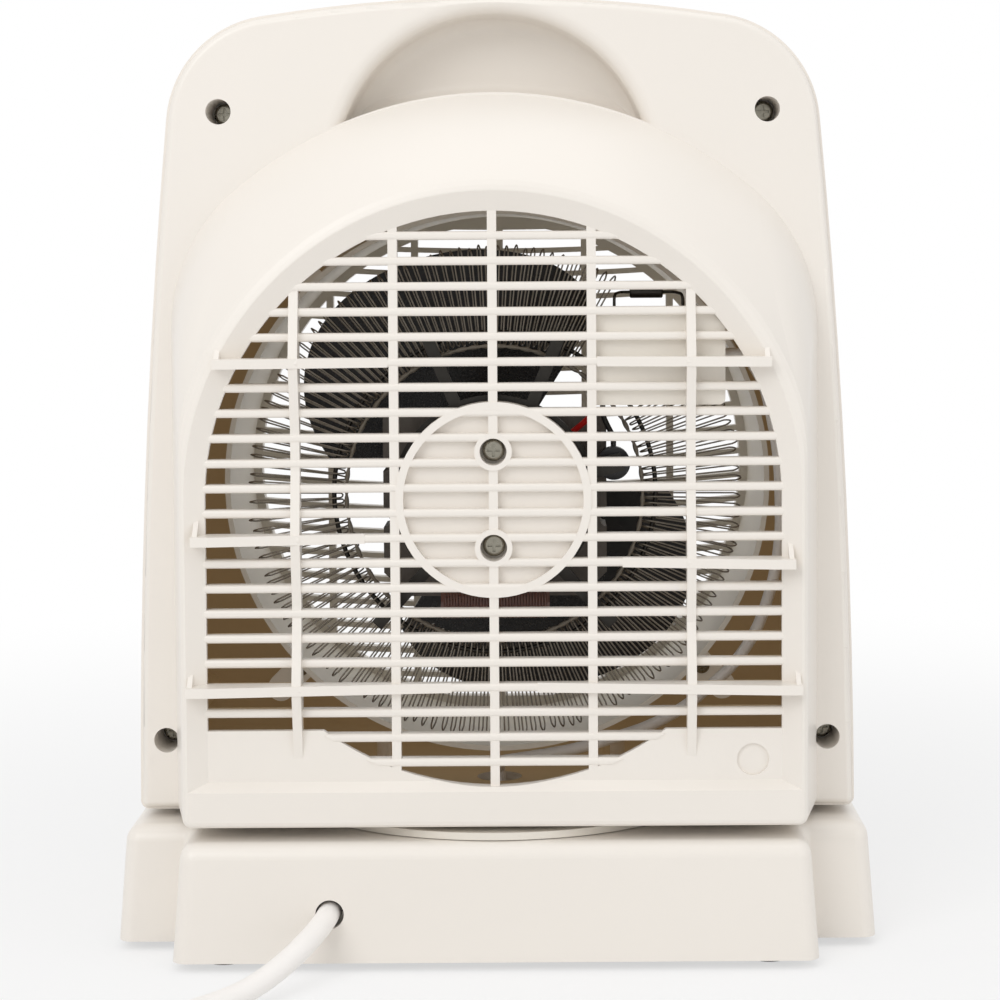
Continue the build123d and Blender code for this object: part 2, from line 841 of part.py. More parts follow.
with BuildPart() as front_housing:
    with BuildSketch(facing_front(flange_front)):
        add(body_outline.sketch)
    extrude(amount=flange_front - front_face)
    fillet(front_housing.faces().sort_by(Axis.Y)[0].edges(), radius=front_edge_radius)
    add(housing_cavity.part, mode=Mode.SUBTRACT)
    with BuildSketch(facing_front(corner_tube_front)):
        with Locations(*mirrored([upper_screw, lower_screw])):
            Circle(corner_post_radius)
    extrude(amount=corner_tube_front - front_inner + 0.5)
    with BuildSketch(on_axis(ear_seat)):
        with Locations(*ear_places):
            Circle(ear_post_radius)
    extrude(amount=ear_seat - front_inner + 0.5)
    with BuildSketch(Plane.XY.offset(body_bottom + body_wall - 0.5)):
        with Locations(*turntable_screw_places):
            Circle(turntable_boss_radius)
    extrude(amount=turntable_boss_height + 0.5)
    with BuildSketch(facing_front(corner_tube_front)):
        with Locations(*mirrored([upper_screw, lower_screw])):
            Circle(corner_screw_radius)
    extrude(amount=corner_screw_length, mode=Mode.SUBTRACT)
    with BuildSketch(on_axis(ear_seat)):
        with Locations(*ear_places):
            Circle(ear_screw_radius)
    extrude(amount=ear_screw_length - ear_thick, mode=Mode.SUBTRACT)
    with BuildSketch(Plane.XY.offset(body_bottom)):
        Circle(hub_bore)
        with Locations(*turntable_screw_places):
            Circle(turntable_screw_shank)
    extrude(amount=body_wall + turntable_boss_height - 1, mode=Mode.SUBTRACT)
    with BuildSketch(on_axis(front_inner + 0.5)):
        Circle(grille_opening_radius)
    extrude(amount=body_wall + 1, mode=Mode.SUBTRACT)
    with BuildSketch(facing_front(front_inner + 0.5)):
        with Locations(*[(x, panel_height) for x in control_places.values()]):
            Circle(bushing_radius)
        with Locations((0, lamp_height)):
            Circle(lamp_radius)
        with Locations((0, rocker_height)):
            Rectangle(2 * rocker_frame_half[0], 2 * rocker_frame_half[1])
    extrude(amount=body_wall + 1, mode=Mode.SUBTRACT)
pieces["front_housing"] = front_housing.part

# Corner screws, driven from the back
with BuildPart() as corner_screws:
    head_seat = corner_tube_front + corner_tube_floor
    one_screw = pan_screw(corner_head_radius, corner_head_height, corner_screw_radius,
                          corner_screw_length)
    with Locations(*[Plane(origin=(x, head_seat, z), z_dir=(0, 1, 0))
                     for x, z in mirrored([upper_screw, lower_screw])]):
        add(one_screw)
pieces["corner_screws"] = corner_screws.part

# Air duct with four ears
with BuildPart() as air_duct:
    with BuildSketch(on_axis(duct_back)):
        Circle(duct_radius + duct_wall)
    extrude(amount=duct_back - duct_front)
    with BuildSketch(on_axis(ear_seat + ear_thick)):
        for k, (x, z) in enumerate(ear_places):
            turn = ear_angle + 90 * k
            with Locations(Location((x, z), turn)):
                SlotOverall(2 * ear_reach + ear_width, ear_width)
        Circle(duct_radius + duct_wall / 2, mode=Mode.SUBTRACT)
    extrude(amount=ear_thick)
    with BuildSketch(on_axis(ear_seat + ear_thick)):
        with Locations(*ear_places):
            Circle(ear_screw_radius + ear_screw_clearance)
    extrude(amount=ear_thick, mode=Mode.SUBTRACT)
    with BuildSketch(on_axis(duct_back)):
        Circle(duct_radius)
    extrude(amount=duct_back - duct_front, mode=Mode.SUBTRACT)
pieces["air_duct"] = air_duct.part

with BuildPart() as duct_screws:
    one_screw = pan_screw(ear_head_radius, ear_head_height, ear_screw_radius, ear_screw_length)
    with Locations(*[Plane(origin=(x, ear_seat + ear_thick, fan_axis + z), z_dir=(0, 1, 0))
                     for x, z in ear_places]):
        add(one_screw)
pieces["duct_screws"] = duct_screws.part

# Front grille: rim, bowed slats and uprights
with BuildPart() as front_grille:
    rim_outer = grille_opening_radius - grille_rim_clearance
    rim_inner = rim_outer - front_rim_width
    with BuildSketch(on_axis(front_inner + front_flange_thick)):
        Circle(front_flange_radius)
        Circle(rim_inner, mode=Mode.SUBTRACT)
    extrude(amount=front_flange_thick)
    with BuildSketch(on_axis(front_inner + front_flange_thick)):
        Circle(rim_outer)
        Circle(rim_inner, mode=Mode.SUBTRACT)
    extrude(amount=front_flange_thick + body_wall + front_rim_proud)
    slat_count = 2 * int(rim_inner / slat_pitch) + 1
    with BuildSketch(on_axis(front_face + slat_depth)):
        for row in range(slat_count):
            level = (row - slat_count // 2) * slat_pitch
            with Locations((0, level + slat_bow_radius)):
                Circle(slat_bow_radius + slat_thick / 2)
                Circle(slat_bow_radius - slat_thick / 2, mode=Mode.SUBTRACT)
        with Locations(*[(column * upright_pitch, 0) for column in (-2, -1, 0, 1, 2)]):
            Rectangle(front_upright_thick, 2 * rim_outer)
        Circle(rim_inner + 0.5, mode=Mode.INTERSECT)
    extrude(amount=slat_depth)
pieces["front_grille"] = front_grille.part

# Control panel plate
with BuildPart() as control_panel:
    with BuildSketch(facing_front(front_face)):
        with Locations((0, panel_height)):
            RectangleRounded(2 * panel_half_width, 2 * panel_half_height, panel_radius)
        with Locations(*[(x, panel_height) for x in control_places.values()]):
            Circle(bushing_radius, mode=Mode.SUBTRACT)
        with Locations((0, lamp_height)):
            Circle(lamp_radius, mode=Mode.SUBTRACT)
        with Locations((0, rocker_height)):
            Rectangle(2 * rocker_frame_half[0], 2 * rocker_frame_half[1], mode=Mode.SUBTRACT)
    extrude(amount=panel_thick)
    chamfer(control_panel.faces().sort_by(Axis.Y)[0].outer_wire().edges(), length=panel_chamfer)
pieces["control_panel"] = control_panel.part

# Thermostat and selector: body with bushing, spindle and knob, then the nuts of both
knob_back = panel_front - knob_gap
knob_front = knob_back - knob_height
for name, x in control_places.items():
    with BuildPart() as control_body:
        with BuildSketch(facing_front(front_inner + control_body_depth)):
            with Locations((x, panel_height)):
                Rectangle(2 * control_body_half, 2 * control_body_half)
        extrude(amount=control_body_depth)
        fillet(control_body.edges().filter_by(Axis.Y), radius=control_corner)
        with BuildSketch(facing_front(front_inner)):
            with Locations((x, panel_height)):
                Circle(bushing_radius)
        extrude(amount=body_wall + panel_thick + bushing_proud)
        with BuildSketch(facing_front(front_inner + spindle_seat)):
            with Locations((x, panel_height)):
                Circle(spindle_radius + spindle_clearance)
        extrude(amount=spindle_seat + body_wall + panel_thick + bushing_proud, mode=Mode.SUBTRACT)
    pieces[f"{name}_body"] = control_body.part
    with BuildPart() as spindle:
        with BuildSketch(facing_front(front_inner + spindle_seat - spindle_end_gap)):
            with Locations((x, panel_height)):
                Circle(spindle_radius)
        extrude(amount=front_inner + spindle_seat - spindle_end_gap - (knob_front + knob_wall))
    pieces[f"{name}_spindle"] = spindle.part
    with BuildPart() as knob:
        with BuildSketch(facing_front(knob_back)):
            with Locations((x, panel_height)):
                Circle(knob_radius)
        extrude(amount=knob_height * 0.45, taper=knob_draft)
        with BuildSketch(facing_front(knob_back - knob_height * 0.45)):
            with Locations((x, panel_height)):
                SlotOverall(2 * knob_radius - 4, knob_grip_width, rotation=90)
        extrude(amount=knob_height * 0.55, taper=knob_draft)
        fillet(knob.faces().sort_by(Axis.Y)[0].edges(), radius=knob_round)
        with BuildSketch(facing_front(knob_back)):
            with Locations((x, panel_height)):
                Circle(knob_radius - knob_wall)
                Circle(spindle_radius + knob_wall, mode=Mode.SUBTRACT)
        extrude(amount=knob_height * 0.45 - knob_wall, mode=Mode.SUBTRACT)
        with BuildSketch(facing_front(knob_back)):
            with Locations((x, panel_height)):
                Circle(nut_clear_radius)
        extrude(amount=nut_thick + bushing_proud, mode=Mode.SUBTRACT)
        with BuildSketch(facing_front(knob_back)):
            with Locations((x, panel_height)):
                Circle(spindle_radius)
        extrude(amount=knob_height - knob_wall, mode=Mode.SUBTRACT)
    pieces[f"{name}_knob"] = knob.part

with BuildPart() as control_nuts:
    with BuildSketch(facing_front(panel_front)):
        with Locations(*((x, panel_height) for x in control_places.values())):
            RegularPolygon(bushing_radius + nut_wall, 6)
            Circle(bushing_radius, mode=Mode.SUBTRACT)
    extrude(amount=nut_thick)
pieces["control_nuts"] = control_nuts.part

# Pilot lamp
with BuildPart() as pilot_lamp:
    with BuildSketch(facing_front(front_inner + lamp_length)):
        with Locations((0, lamp_height)):
            Circle(lamp_radius)
    extrude(amount=lamp_length + body_wall + panel_thick + lamp_proud)
    fillet(pilot_lamp.faces().sort_by(Axis.Y)[0].edges(), radius=lamp_proud)
    with BuildSketch(facing_front(front_inner)):
        with Locations((0, lamp_height)):
            Circle(lamp_radius + lamp_collar)
            Circle(lamp_radius, mode=Mode.SUBTRACT)
    extrude(amount=-lamp_collar)
pieces["pilot_lamp"] = pilot_lamp.part

# Swing switch: frame and rocker
rocker_pivot = panel_front + rocker_pivot_depth
with BuildPart() as swing_switch:
    with BuildSketch(facing_front(front_inner + rocker_body_depth)):
        with Locations((0, rocker_height)):
            Rectangle(2 * rocker_frame_half[0], 2 * rocker_frame_half[1])
    extrude(amount=rocker_body_depth + body_wall + panel_thick + rocker_frame_proud)
    with BuildSketch(facing_front(rocker_pivot + rocker_well)):
        with Locations((0, rocker_height)):
            Rectangle(2 * (rocker_half_width + rocker_gap), 2 * (rocker_half_height + rocker_gap))
    extrude(amount=rocker_well + rocker_pivot_depth + rocker_frame_proud + 1, mode=Mode.SUBTRACT)
    with BuildSketch(Plane.XY.offset(rocker_height - rocker_pin_half)):
        with Locations((0, rocker_pivot)):
            Circle(rocker_pin_radius + spindle_clearance)
    extrude(amount=2 * rocker_pin_half, mode=Mode.SUBTRACT)
pieces["swing_switch"] = swing_switch.part

with BuildPart() as rocker_flat:
    with BuildSketch(Plane.XY.offset(rocker_height - rocker_half_height)):
        with BuildLine():
            Polyline((-rocker_half_width, rocker_pivot - rocker_shoulder),
                     (rocker_taper - rocker_half_width, panel_front - rocker_proud),
                     (0, panel_front - rocker_dip),
                     (rocker_half_width - rocker_taper, panel_front - rocker_proud),
                     (rocker_half_width, rocker_pivot - rocker_shoulder),
                     (rocker_half_width * 0.8, rocker_pivot + rocker_foot),
                     (-rocker_half_width * 0.8, rocker_pivot + rocker_foot), close=True)
        make_face()
    extrude(amount=2 * rocker_half_height)
    with BuildSketch(Plane.XY.offset(rocker_height - rocker_pin_half + 0.1)):
        with Locations((0, rocker_pivot)):
            Circle(rocker_pin_radius)
    extrude(amount=2 * rocker_pin_half - 0.2)
rocker_hinge = Axis((0, rocker_pivot, rocker_height), (0, 0, 1))
pieces["swing_rocker"] = rocker_flat.part.rotate(rocker_hinge, rocker_tilt)

# Heights and places in the base
cavity_top = base_top - base_wall
floor_under = deck - dish_floor
collar_bottom = floor_under - collar_length
hub_bottom = collar_bottom - retainer_gap
step_bottom = disc_bottom - disc_step_drop
crank_top = floor_under - crank_disc_gap
crank_under = crank_top - crank_disc_thick
pin_rest = crank_distance + crank_throw
pin_near = math.hypot(crank_distance, crank_throw)
slot_half = crank_pin_radius + crank_slot_clearance
slot_roof_height = body_bottom - crank_slot_roof
plate_top = plate_height + plate_thick
block_bottom = lead_exit[1] - terminal_block_size[2] / 2
swing_ears = [(side * swing_ear_offset, -crank_distance) for side in (-1, 1)]
feet_places = [(side * (base_core_half_width - foot_inset[0]), end * (base_core_half_depth - foot_inset[1]))
               for side in (-1, 1) for end in (-1, 1)]
base_post_places = [(side * (base_core_half_width - base_post_inset), end * base_post_spread)
                    for side in (-1, 1) for end in (-1, 1)]
base_post_places += [(0, base_core_half_depth - base_post_back_inset),
                     (base_core_half_width - base_post_side_inset, 0)]
tip_place = (tip_inset - base_core_half_width, 0)
terminal_block_back = base_core_half_depth - terminal_block_inset
clamp_middle = base_core_half_depth - clamp_inset


def base_plan(height, inset):
    """Plan of the base with its two wings at this height, drawn in by the inset."""
    lean = (height - base_skirt) * math.tan(math.radians(base_draft)) + inset
    with BuildSketch(Plane.XY.offset(height)) as plan:
        Rectangle(2 * (base_core_half_width - lean), 2 * (base_core_half_depth - lean))
        Rectangle(2 * (base_wing_half_width - lean), 2 * (base_wing_half_depth - lean))
    return plan.sketch


# Base shell
with BuildPart() as base_cavity:
    with BuildSketch(Plane.XY.offset(base_skirt)):
        add(base_plan(base_skirt, base_wall))
    extrude(amount=cavity_top - base_skirt, taper=base_draft)
    with BuildSketch(Plane.XY.offset(cavity_top)):
        Circle(dish_clearance + disc_step_radius + base_wall)
    extrude(amount=floor_under - cavity_top, mode=Mode.SUBTRACT)

with BuildPart() as base_shell:
    with BuildSketch(Plane.XY.offset(base_skirt)):
        add(base_plan(base_skirt, 0))
    extrude(amount=base_top - base_skirt, taper=base_draft)
    rising = [e for e in base_shell.edges() if abs((e % 0.5).Z) > 0.9]
    fillet(rising, radius=base_corner_radius)
    fillet(base_shell.faces().sort_by(Axis.Z)[-1].edges(), radius=base_top_radius)
    add(base_cavity.part, mode=Mode.SUBTRACT)
    with BuildSketch(Plane.XY.offset(plate_top)):
        with Locations(*base_post_places):
            Circle(base_post_radius)
    extrude(amount=cavity_top + 0.5 - plate_top)
    with BuildSketch(Plane.XY.offset(tip_switch_bottom + tip_switch_height)):
        with Locations(tip_place):
            Rectangle(*tip_post_size)
    extrude(amount=cavity_top + 0.5 - tip_switch_bottom - tip_switch_height)
    with BuildSketch(Plane.XY.offset(collar_bottom)):
        Circle(hub_radius + hub_clearance + collar_wall)
    extrude(amount=collar_length + 0.5)
    with BuildSketch(Plane.XY.offset(swing_motor_top)):
        with Locations(*swing_ears):
            Circle(swing_post_radius)
    extrude(amount=floor_under + 0.5 - swing_motor_top)
    with BuildSketch(Plane.XY.offset(deck)):
        Circle(disc_step_radius + dish_clearance)
    extrude(amount=dish_depth + 1, mode=Mode.SUBTRACT)
    with BuildSketch(Plane.XY.offset(collar_bottom - 1)):
        Circle(hub_radius + hub_clearance)
    extrude(amount=deck - collar_bottom + 2, mode=Mode.SUBTRACT)
    with BuildSketch(Plane.XY.offset(floor_under - 1)):
        with Locations((0, -crank_distance)):
            SlotArc(CenterArc((0, 0), crank_throw, 180, 180),
                    2 * (crank_pin_radius + crank_window_clearance))
    extrude(amount=dish_floor + 2, mode=Mode.SUBTRACT)
    with BuildSketch(Plane.XY.offset(plate_top)):
        with Locations(*base_post_places):
            Circle(base_screw_radius)
    extrude(amount=base_screw_length - plate_thick, mode=Mode.SUBTRACT)
    with BuildSketch(Plane.XY.offset(swing_motor_top)):
        with Locations(*swing_ears):
            Circle(swing_screw_radius)
    extrude(amount=swing_screw_length - swing_ear_thick, mode=Mode.SUBTRACT)
    with BuildSketch(facing_front(base_core_half_depth + 1)):
        with Locations(lead_exit):
            Circle(lead_hole_radius)
    extrude(amount=3 * base_wall, mode=Mode.SUBTRACT)
pieces["base_shell"] = base_shell.part

# Base plate with the terminal pad and the plunger's guide
with BuildPart() as base_plate:
    with BuildSketch(Plane.XY.offset(plate_height)):
        add(base_plan(plate_top, base_wall + plate_clearance))
    extrude(amount=plate_thick)
    with BuildSketch(Plane.XY.offset(plate_top - 0.5)):
        with Locations((lead_exit[0], terminal_block_back - terminal_block_size[1] / 2)):
            Rectangle(terminal_block_size[0], terminal_block_size[1])
    extrude(amount=block_bottom - plate_top + 0.5)
    with BuildSketch(Plane.XY.offset(plate_top - 0.5)):
        with Locations(tip_place):
            Circle(plunger_radius + plunger_clearance + guide_wall)
    extrude(amount=guide_top - plate_top + 0.5)
    with BuildSketch(Plane.XY.offset(plate_height)):
        with Locations(tip_place):
            Circle(plunger_radius + plunger_clearance)
    extrude(amount=guide_top - plate_height, mode=Mode.SUBTRACT)
    with BuildSketch(Plane.XY.offset(plate_height)):
        with Locations(*base_post_places):
            Circle(base_screw_radius)
    extrude(amount=plate_thick, mode=Mode.SUBTRACT)
pieces["base_plate"] = base_plate.part

with BuildPart() as feet:
    with BuildSketch():
        with Locations(*feet_places):
            Circle(foot_radius)
    extrude(amount=plate_height)
    chamfer(feet.edges().group_by(Axis.Z)[0], length=1)
pieces["feet"] = feet.part

# Screws of the base: plate, swing motor and cord clamp
with BuildPart() as base_screws:
    plate_screw = pan_screw(base_head_radius, base_head_height, base_screw_radius, base_screw_length)
    with Locations(*[Plane(origin=(x, y, plate_height), z_dir=(0, 0, -1)) for x, y in base_post_places]):
        add(plate_screw)
    swing_screw = pan_screw(swing_head_radius, swing_head_height, swing_screw_radius, swing_screw_length)
    with Locations(*[Plane(origin=(x, y, swing_motor_top - swing_ear_thick), z_dir=(0, 0, -1))
                     for x, y in swing_ears]):
        add(swing_screw)
    clamp_screw = pan_screw(clamp_head_radius, clamp_head_height, clamp_screw_radius, clamp_screw_length)
    clamp_top = lead_exit[1] + lead_radius + clamp_roof
    with Locations(*[(lead_exit[0] + side * clamp_screw_offset, clamp_middle, clamp_top)
                     for side in (-1, 1)]):
        add(clamp_screw)
pieces["base_screws"] = base_screws.part

# Cord clamp: lower block and bar
with BuildPart() as cord_clamp:
    with BuildSketch(facing_front(clamp_middle + clamp_length / 2)):
        with Locations((lead_exit[0], (plate_top + clamp_top) / 2)):
            Rectangle(2 * clamp_half_width, clamp_top - plate_top)
        with Locations(lead_exit):
            Rectangle(2 * clamp_half_width, clamp_split, mode=Mode.SUBTRACT)
            Circle(lead_radius, mode=Mode.SUBTRACT)
    extrude(amount=clamp_length)
    with BuildSketch(Plane.XY.offset(clamp_top - clamp_screw_length)):
        with Locations(*[(lead_exit[0] + side * clamp_screw_offset, clamp_middle) for side in (-1, 1)]):
            Circle(clamp_screw_radius)
    extrude(amount=clamp_screw_length, mode=Mode.SUBTRACT)
pieces["cord_clamp"] = cord_clamp.part

with BuildPart() as terminal_block:
    middle = terminal_block_back - terminal_block_size[1] / 2
    with Locations((lead_exit[0], middle, lead_exit[1])):
        Box(*terminal_block_size)
    chamfer(terminal_block.edges().group_by(Axis.Z)[-1], length=1)
    with BuildSketch(Plane.XY.offset(lead_exit[1] + terminal_block_size[2] / 2)):
        with Locations(*[(lead_exit[0] + dx, middle + dy) for dx in (-7, 0, 7) for dy in (-4.5, 4.5)]):
            Circle(terminal_well_radius)
    extrude(amount=-terminal_well_depth, mode=Mode.SUBTRACT)
pieces["terminal_block"] = terminal_block.part

# Turntable with hub and the slot for the crank pin
with BuildPart() as turntable:
    with BuildSketch(Plane.XY.offset(disc_bottom)):
        Circle(disc_radius)
    extrude(amount=body_bottom - disc_bottom)
    with BuildSketch(Plane.XY.offset(step_bottom)):
        Circle(disc_step_radius)
        Circle(disc_step_radius - disc_step_wall, mode=Mode.SUBTRACT)
    extrude(amount=disc_step_drop + 0.5)
    with BuildSketch(Plane.XY.offset(hub_bottom)):
        Circle(hub_radius)
    extrude(amount=disc_bottom - hub_bottom + 0.5)
    slot_middle = -(pin_rest + pin_near) / 2
    slot_reach = pin_rest - pin_near + 2 * (slot_half + crank_slot_end)
    with BuildSketch(Plane.XY.offset(step_bottom)):
        with Locations(Location((0, slot_middle), 90)):
            SlotOverall(slot_reach + 2 * crank_slot_wall, 2 * (slot_half + crank_slot_wall))
    extrude(amount=disc_step_drop + 0.5)
    with BuildSketch(Plane.XY.offset(step_bottom - 1)):
        with Locations(Location((0, slot_middle), 90)):
            SlotOverall(slot_reach, 2 * slot_half)
    extrude(amount=slot_roof_height - step_bottom + 1, mode=Mode.SUBTRACT)
    with BuildSketch(Plane.XY.offset(hub_bottom)):
        Circle(hub_bore)
    extrude(amount=body_bottom - hub_bottom, mode=Mode.SUBTRACT)
    with BuildSketch(Plane.XY.offset(disc_bottom)):
        with Locations(*turntable_screw_places):
            Circle(turntable_screw_shank)
    extrude(amount=body_bottom - disc_bottom, mode=Mode.SUBTRACT)
    with BuildSketch(Plane.XY.offset(hub_bottom)):
        with Locations(*around(retainer_screw_circle, (0, 120, 240))):
            Circle(retainer_screw_radius)
    extrude(amount=retainer_screw_length - retainer_thick, mode=Mode.SUBTRACT)
pieces["turntable"] = turntable.part

with BuildPart() as retainer:
    with BuildSketch(Plane.XY.offset(hub_bottom - retainer_thick)):
        Circle(retainer_radius)
        Circle(hub_bore, mode=Mode.SUBTRACT)
        with Locations(*around(retainer_screw_circle, (0, 120, 240))):
            Circle(retainer_screw_radius, mode=Mode.SUBTRACT)
    extrude(amount=retainer_thick)
pieces["retainer"] = retainer.part

with BuildPart() as turntable_screws:
    disc_screw = pan_screw(turntable_head_radius, turntable_head_height, turntable_screw_shank,
                           turntable_screw_length)
    with Locations(*[Plane(origin=(x, y, disc_bottom), z_dir=(0, 0, -1)) for x, y in turntable_screw_places]):
        add(disc_screw)
    retainer_screw = pan_screw(retainer_head_radius, retainer_head_height, retainer_screw_radius,
                               retainer_screw_length)
    with Locations(*[Plane(origin=(x, y, hub_bottom - retainer_thick), z_dir=(0, 0, -1))
                     for x, y in around(retainer_screw_circle, (0, 120, 240))]):
        add(retainer_screw)
pieces["turntable_screws"] = turntable_screws.part

with BuildPart() as glide_ring:
    with BuildSketch(Plane.XY.offset(deck)):
        Circle(glide_outer)
        Circle(glide_inner, mode=Mode.SUBTRACT)
    extrude(amount=step_bottom - glide_gap - deck)
pieces["glide_ring"] = glide_ring.part

# Crank with its pin and spigot
with BuildPart() as crank:
    with BuildSketch(Plane.XY.offset(crank_under)):
        with Locations((0, -crank_distance)):
            Circle(crank_throw + crank_pin_radius + crank_disc_rim)
    extrude(amount=crank_disc_thick)
    with BuildSketch(Plane.XY.offset(crank_top)):
        with Locations((0, -pin_rest)):
            Circle(crank_pin_radius)
    extrude(amount=slot_roof_height - crank_pin_gap - crank_top)
    with BuildSketch(Plane.XY.offset(swing_motor_top + crank_disc_gap)):
        with Locations((0, -crank_distance)):
            Circle(crank_hub_radius)
    extrude(amount=crank_under - swing_motor_top - crank_disc_gap)
    with BuildSketch(Plane.XY.offset(swing_motor_top - swing_shaft_depth)):
        with Locations((0, -crank_distance)):
            Circle(swing_shaft_radius)
    extrude(amount=swing_shaft_depth + crank_disc_gap)
pieces["crank"] = crank.part

with BuildPart() as swing_motor:
    with BuildSketch(Plane.XY.offset(swing_motor_top - swing_motor_height)):
        with Locations((0, -crank_distance)):
            Circle(swing_motor_radius)
    extrude(amount=swing_motor_height)
    fillet(swing_motor.edges().group_by(Axis.Z)[0], radius=1.5)
    with BuildSketch(Plane.XY.offset(swing_motor_top - swing_ear_thick)):
        with Locations((0, -crank_distance)):
            SlotCenterToCenter(2 * swing_ear_offset, 2 * swing_ear_radius)
    extrude(amount=swing_ear_thick)
    with BuildSketch(Plane.XY.offset(swing_motor_top)):
        with Locations(*swing_ears):
            Circle(swing_screw_radius)
    extrude(amount=-swing_ear_thick, mode=Mode.SUBTRACT)
    with BuildSketch(Plane.XY.offset(swing_motor_top)):
        with Locations((0, -crank_distance)):
            Circle(swing_shaft_radius + spindle_clearance)
    extrude(amount=-swing_shaft_depth - 0.5, mode=Mode.SUBTRACT)
pieces["swing_motor"] = swing_motor.part

# Tip-over switch, its plunger and spring
with BuildPart() as tip_switch:
    with BuildSketch(Plane.XY.offset(tip_switch_bottom)):
        with Locations(tip_place):
            Rectangle(*tip_switch_size)
    extrude(amount=tip_switch_height)
    fillet(tip_switch.edges().filter_by(Axis.Z), radius=1)
pieces["tip_switch"] = tip_switch.part

with BuildPart() as tip_plunger:
    with BuildSketch():
        with Locations(tip_place):
            Circle(plunger_radius)
    extrude(amount=plunger_top)
    chamfer(tip_plunger.edges().group_by(Axis.Z)[0], length=0.8)
    with BuildSketch(Plane.XY.offset(plunger_collar_height)):
        with Locations(tip_place):
            Circle(plunger_collar_radius)
    extrude(amount=plunger_collar_thick)
pieces["tip_plunger"] = tip_plunger.part

with BuildPart() as tip_spring:
    spring_low = plunger_collar_height + plunger_collar_thick + tip_spring_wire + tip_spring_gap
    spring_rise = tip_switch_bottom - tip_spring_wire - tip_spring_gap - spring_low
    spring_path = Helix(spring_rise / tip_spring_turns, spring_rise, tip_spring_radius,
                        center=(*tip_place, spring_low))
    with BuildSketch(Plane(origin=spring_path @ 0, z_dir=spring_path % 0)):
        Circle(tip_spring_wire)
    sweep(path=spring_path, is_frenet=True)
pieces["tip_spring"] = tip_spring.part

# Plate that carries the motor and the element
with BuildPart() as mount_plate:
    with BuildSketch(on_axis(plate_back)):
        Circle(mount_plate_radius)
        with Locations(*[Location(around(arm_reach / 2, [a])[0], a) for a in card_angles]):
            Rectangle(arm_reach, arm_width)
        with Locations(Location(around(cutout_tab_reach / 2, [cutout_angle])[0], cutout_angle)):
            Rectangle(cutout_tab_reach, cutout_tab_width)
        Circle(mount_hole_radius, mode=Mode.SUBTRACT)
        with Locations(*seat_screw_places):
            Circle(motor_screw_radius + mount_screw_clearance, mode=Mode.SUBTRACT)
    extrude(amount=mount_plate_thick)
pieces["mount_plate"] = mount_plate.part

with BuildPart() as motor_screws:
    seat_screw = pan_screw(motor_head_radius, motor_head_height, motor_screw_radius, motor_screw_length)
    with Locations(*[Plane(origin=(x, seat_screw_back, fan_axis + z), z_dir=(0, 1, 0))
                     for x, z in seat_screw_places]):
        add(seat_screw)
pieces["motor_screws"] = motor_screws.part

# Motor brackets, rear and front
bolt_places = ((-stack_bolt_offset, 0), (stack_bolt_offset, 0))
bracket_front = plate_front - bracket_thick
front_plate_front = front_bracket_back - bracket_thick
with BuildPart() as motor_brackets:
    with BuildSketch(on_axis(plate_front)):
        Rectangle(2 * bracket_half_length, bracket_width)
        Circle(bracket_disc_radius)
        with Locations(*seat_screw_places):
            Circle(motor_screw_radius, mode=Mode.SUBTRACT)
    extrude(amount=bracket_thick)
    with BuildSketch(on_axis(bracket_front)):
        Circle(bearing_boss_radius)
    extrude(amount=bush_length)
    with BuildSketch(on_axis(bracket_front)):
        with Locations(*bolt_places):
            Circle(bracket_leg_radius)
    extrude(amount=bracket_front - stator_back)
    with BuildSketch(on_axis(front_bracket_back)):
        Rectangle(2 * bracket_half_length, bracket_width)
        Circle(front_disc_radius)
    extrude(amount=bracket_thick)
    with BuildSketch(on_axis(front_bracket_back + bush_length)):
        Circle(bearing_boss_radius)
    extrude(amount=bush_length)
    with BuildSketch(on_axis(stator_front)):
        with Locations(*bolt_places):
            Circle(bracket_leg_radius)
    extrude(amount=stator_front - front_bracket_back)
    with BuildSketch(on_axis(plate_front)):
        with Locations(*bolt_places):
            Circle(stack_bolt_radius)
    extrude(amount=plate_front - front_plate_front, mode=Mode.SUBTRACT)
    with BuildSketch(on_axis(bracket_front)):
        Circle(bush_radius)
    extrude(amount=bush_length, mode=Mode.SUBTRACT)
    with BuildSketch(on_axis(front_bracket_back + bush_length)):
        Circle(bush_radius)
    extrude(amount=bush_length + bracket_thick, mode=Mode.SUBTRACT)
pieces["motor_brackets"] = motor_brackets.part

with BuildPart() as motor_bushes:
    for back in (bracket_front, front_bracket_back + bush_length):
        with BuildSketch(on_axis(back)):
            Circle(bush_radius)
            Circle(motor_shaft_radius + bush_clearance, mode=Mode.SUBTRACT)
        extrude(amount=bush_length)
pieces["motor_bushes"] = motor_bushes.part

# Stator with the limb that carries the winding
limb_bottom = limb_drop + limb_height / 2
with BuildPart() as stator:
    with BuildSketch(on_axis(stator_back)) as lamination:
        with Locations((0, (stator_half_height - limb_bottom) / 2)):
            Rectangle(2 * stator_half_width, stator_half_height + limb_bottom)
        chamfer(lamination.vertices().group_by(Axis.Y)[0], length=stator_corner)
        with Locations((0, window_height / 2 - limb_drop + limb_height / 2)):
            Rectangle(2 * window_half_width, window_height, mode=Mode.SUBTRACT)
        Circle(rotor_radius + rotor_gap, mode=Mode.SUBTRACT)
        with Locations(*mirrored([(stator_half_width, -stator_notch_height),
                                  (stator_half_width, stator_notch_height)])):
            Circle(stator_notch, mode=Mode.SUBTRACT)
        with Locations(*bolt_places):
            Circle(stack_bolt_radius, mode=Mode.SUBTRACT)
    extrude(amount=stator_length)
pieces["stator"] = stator.part

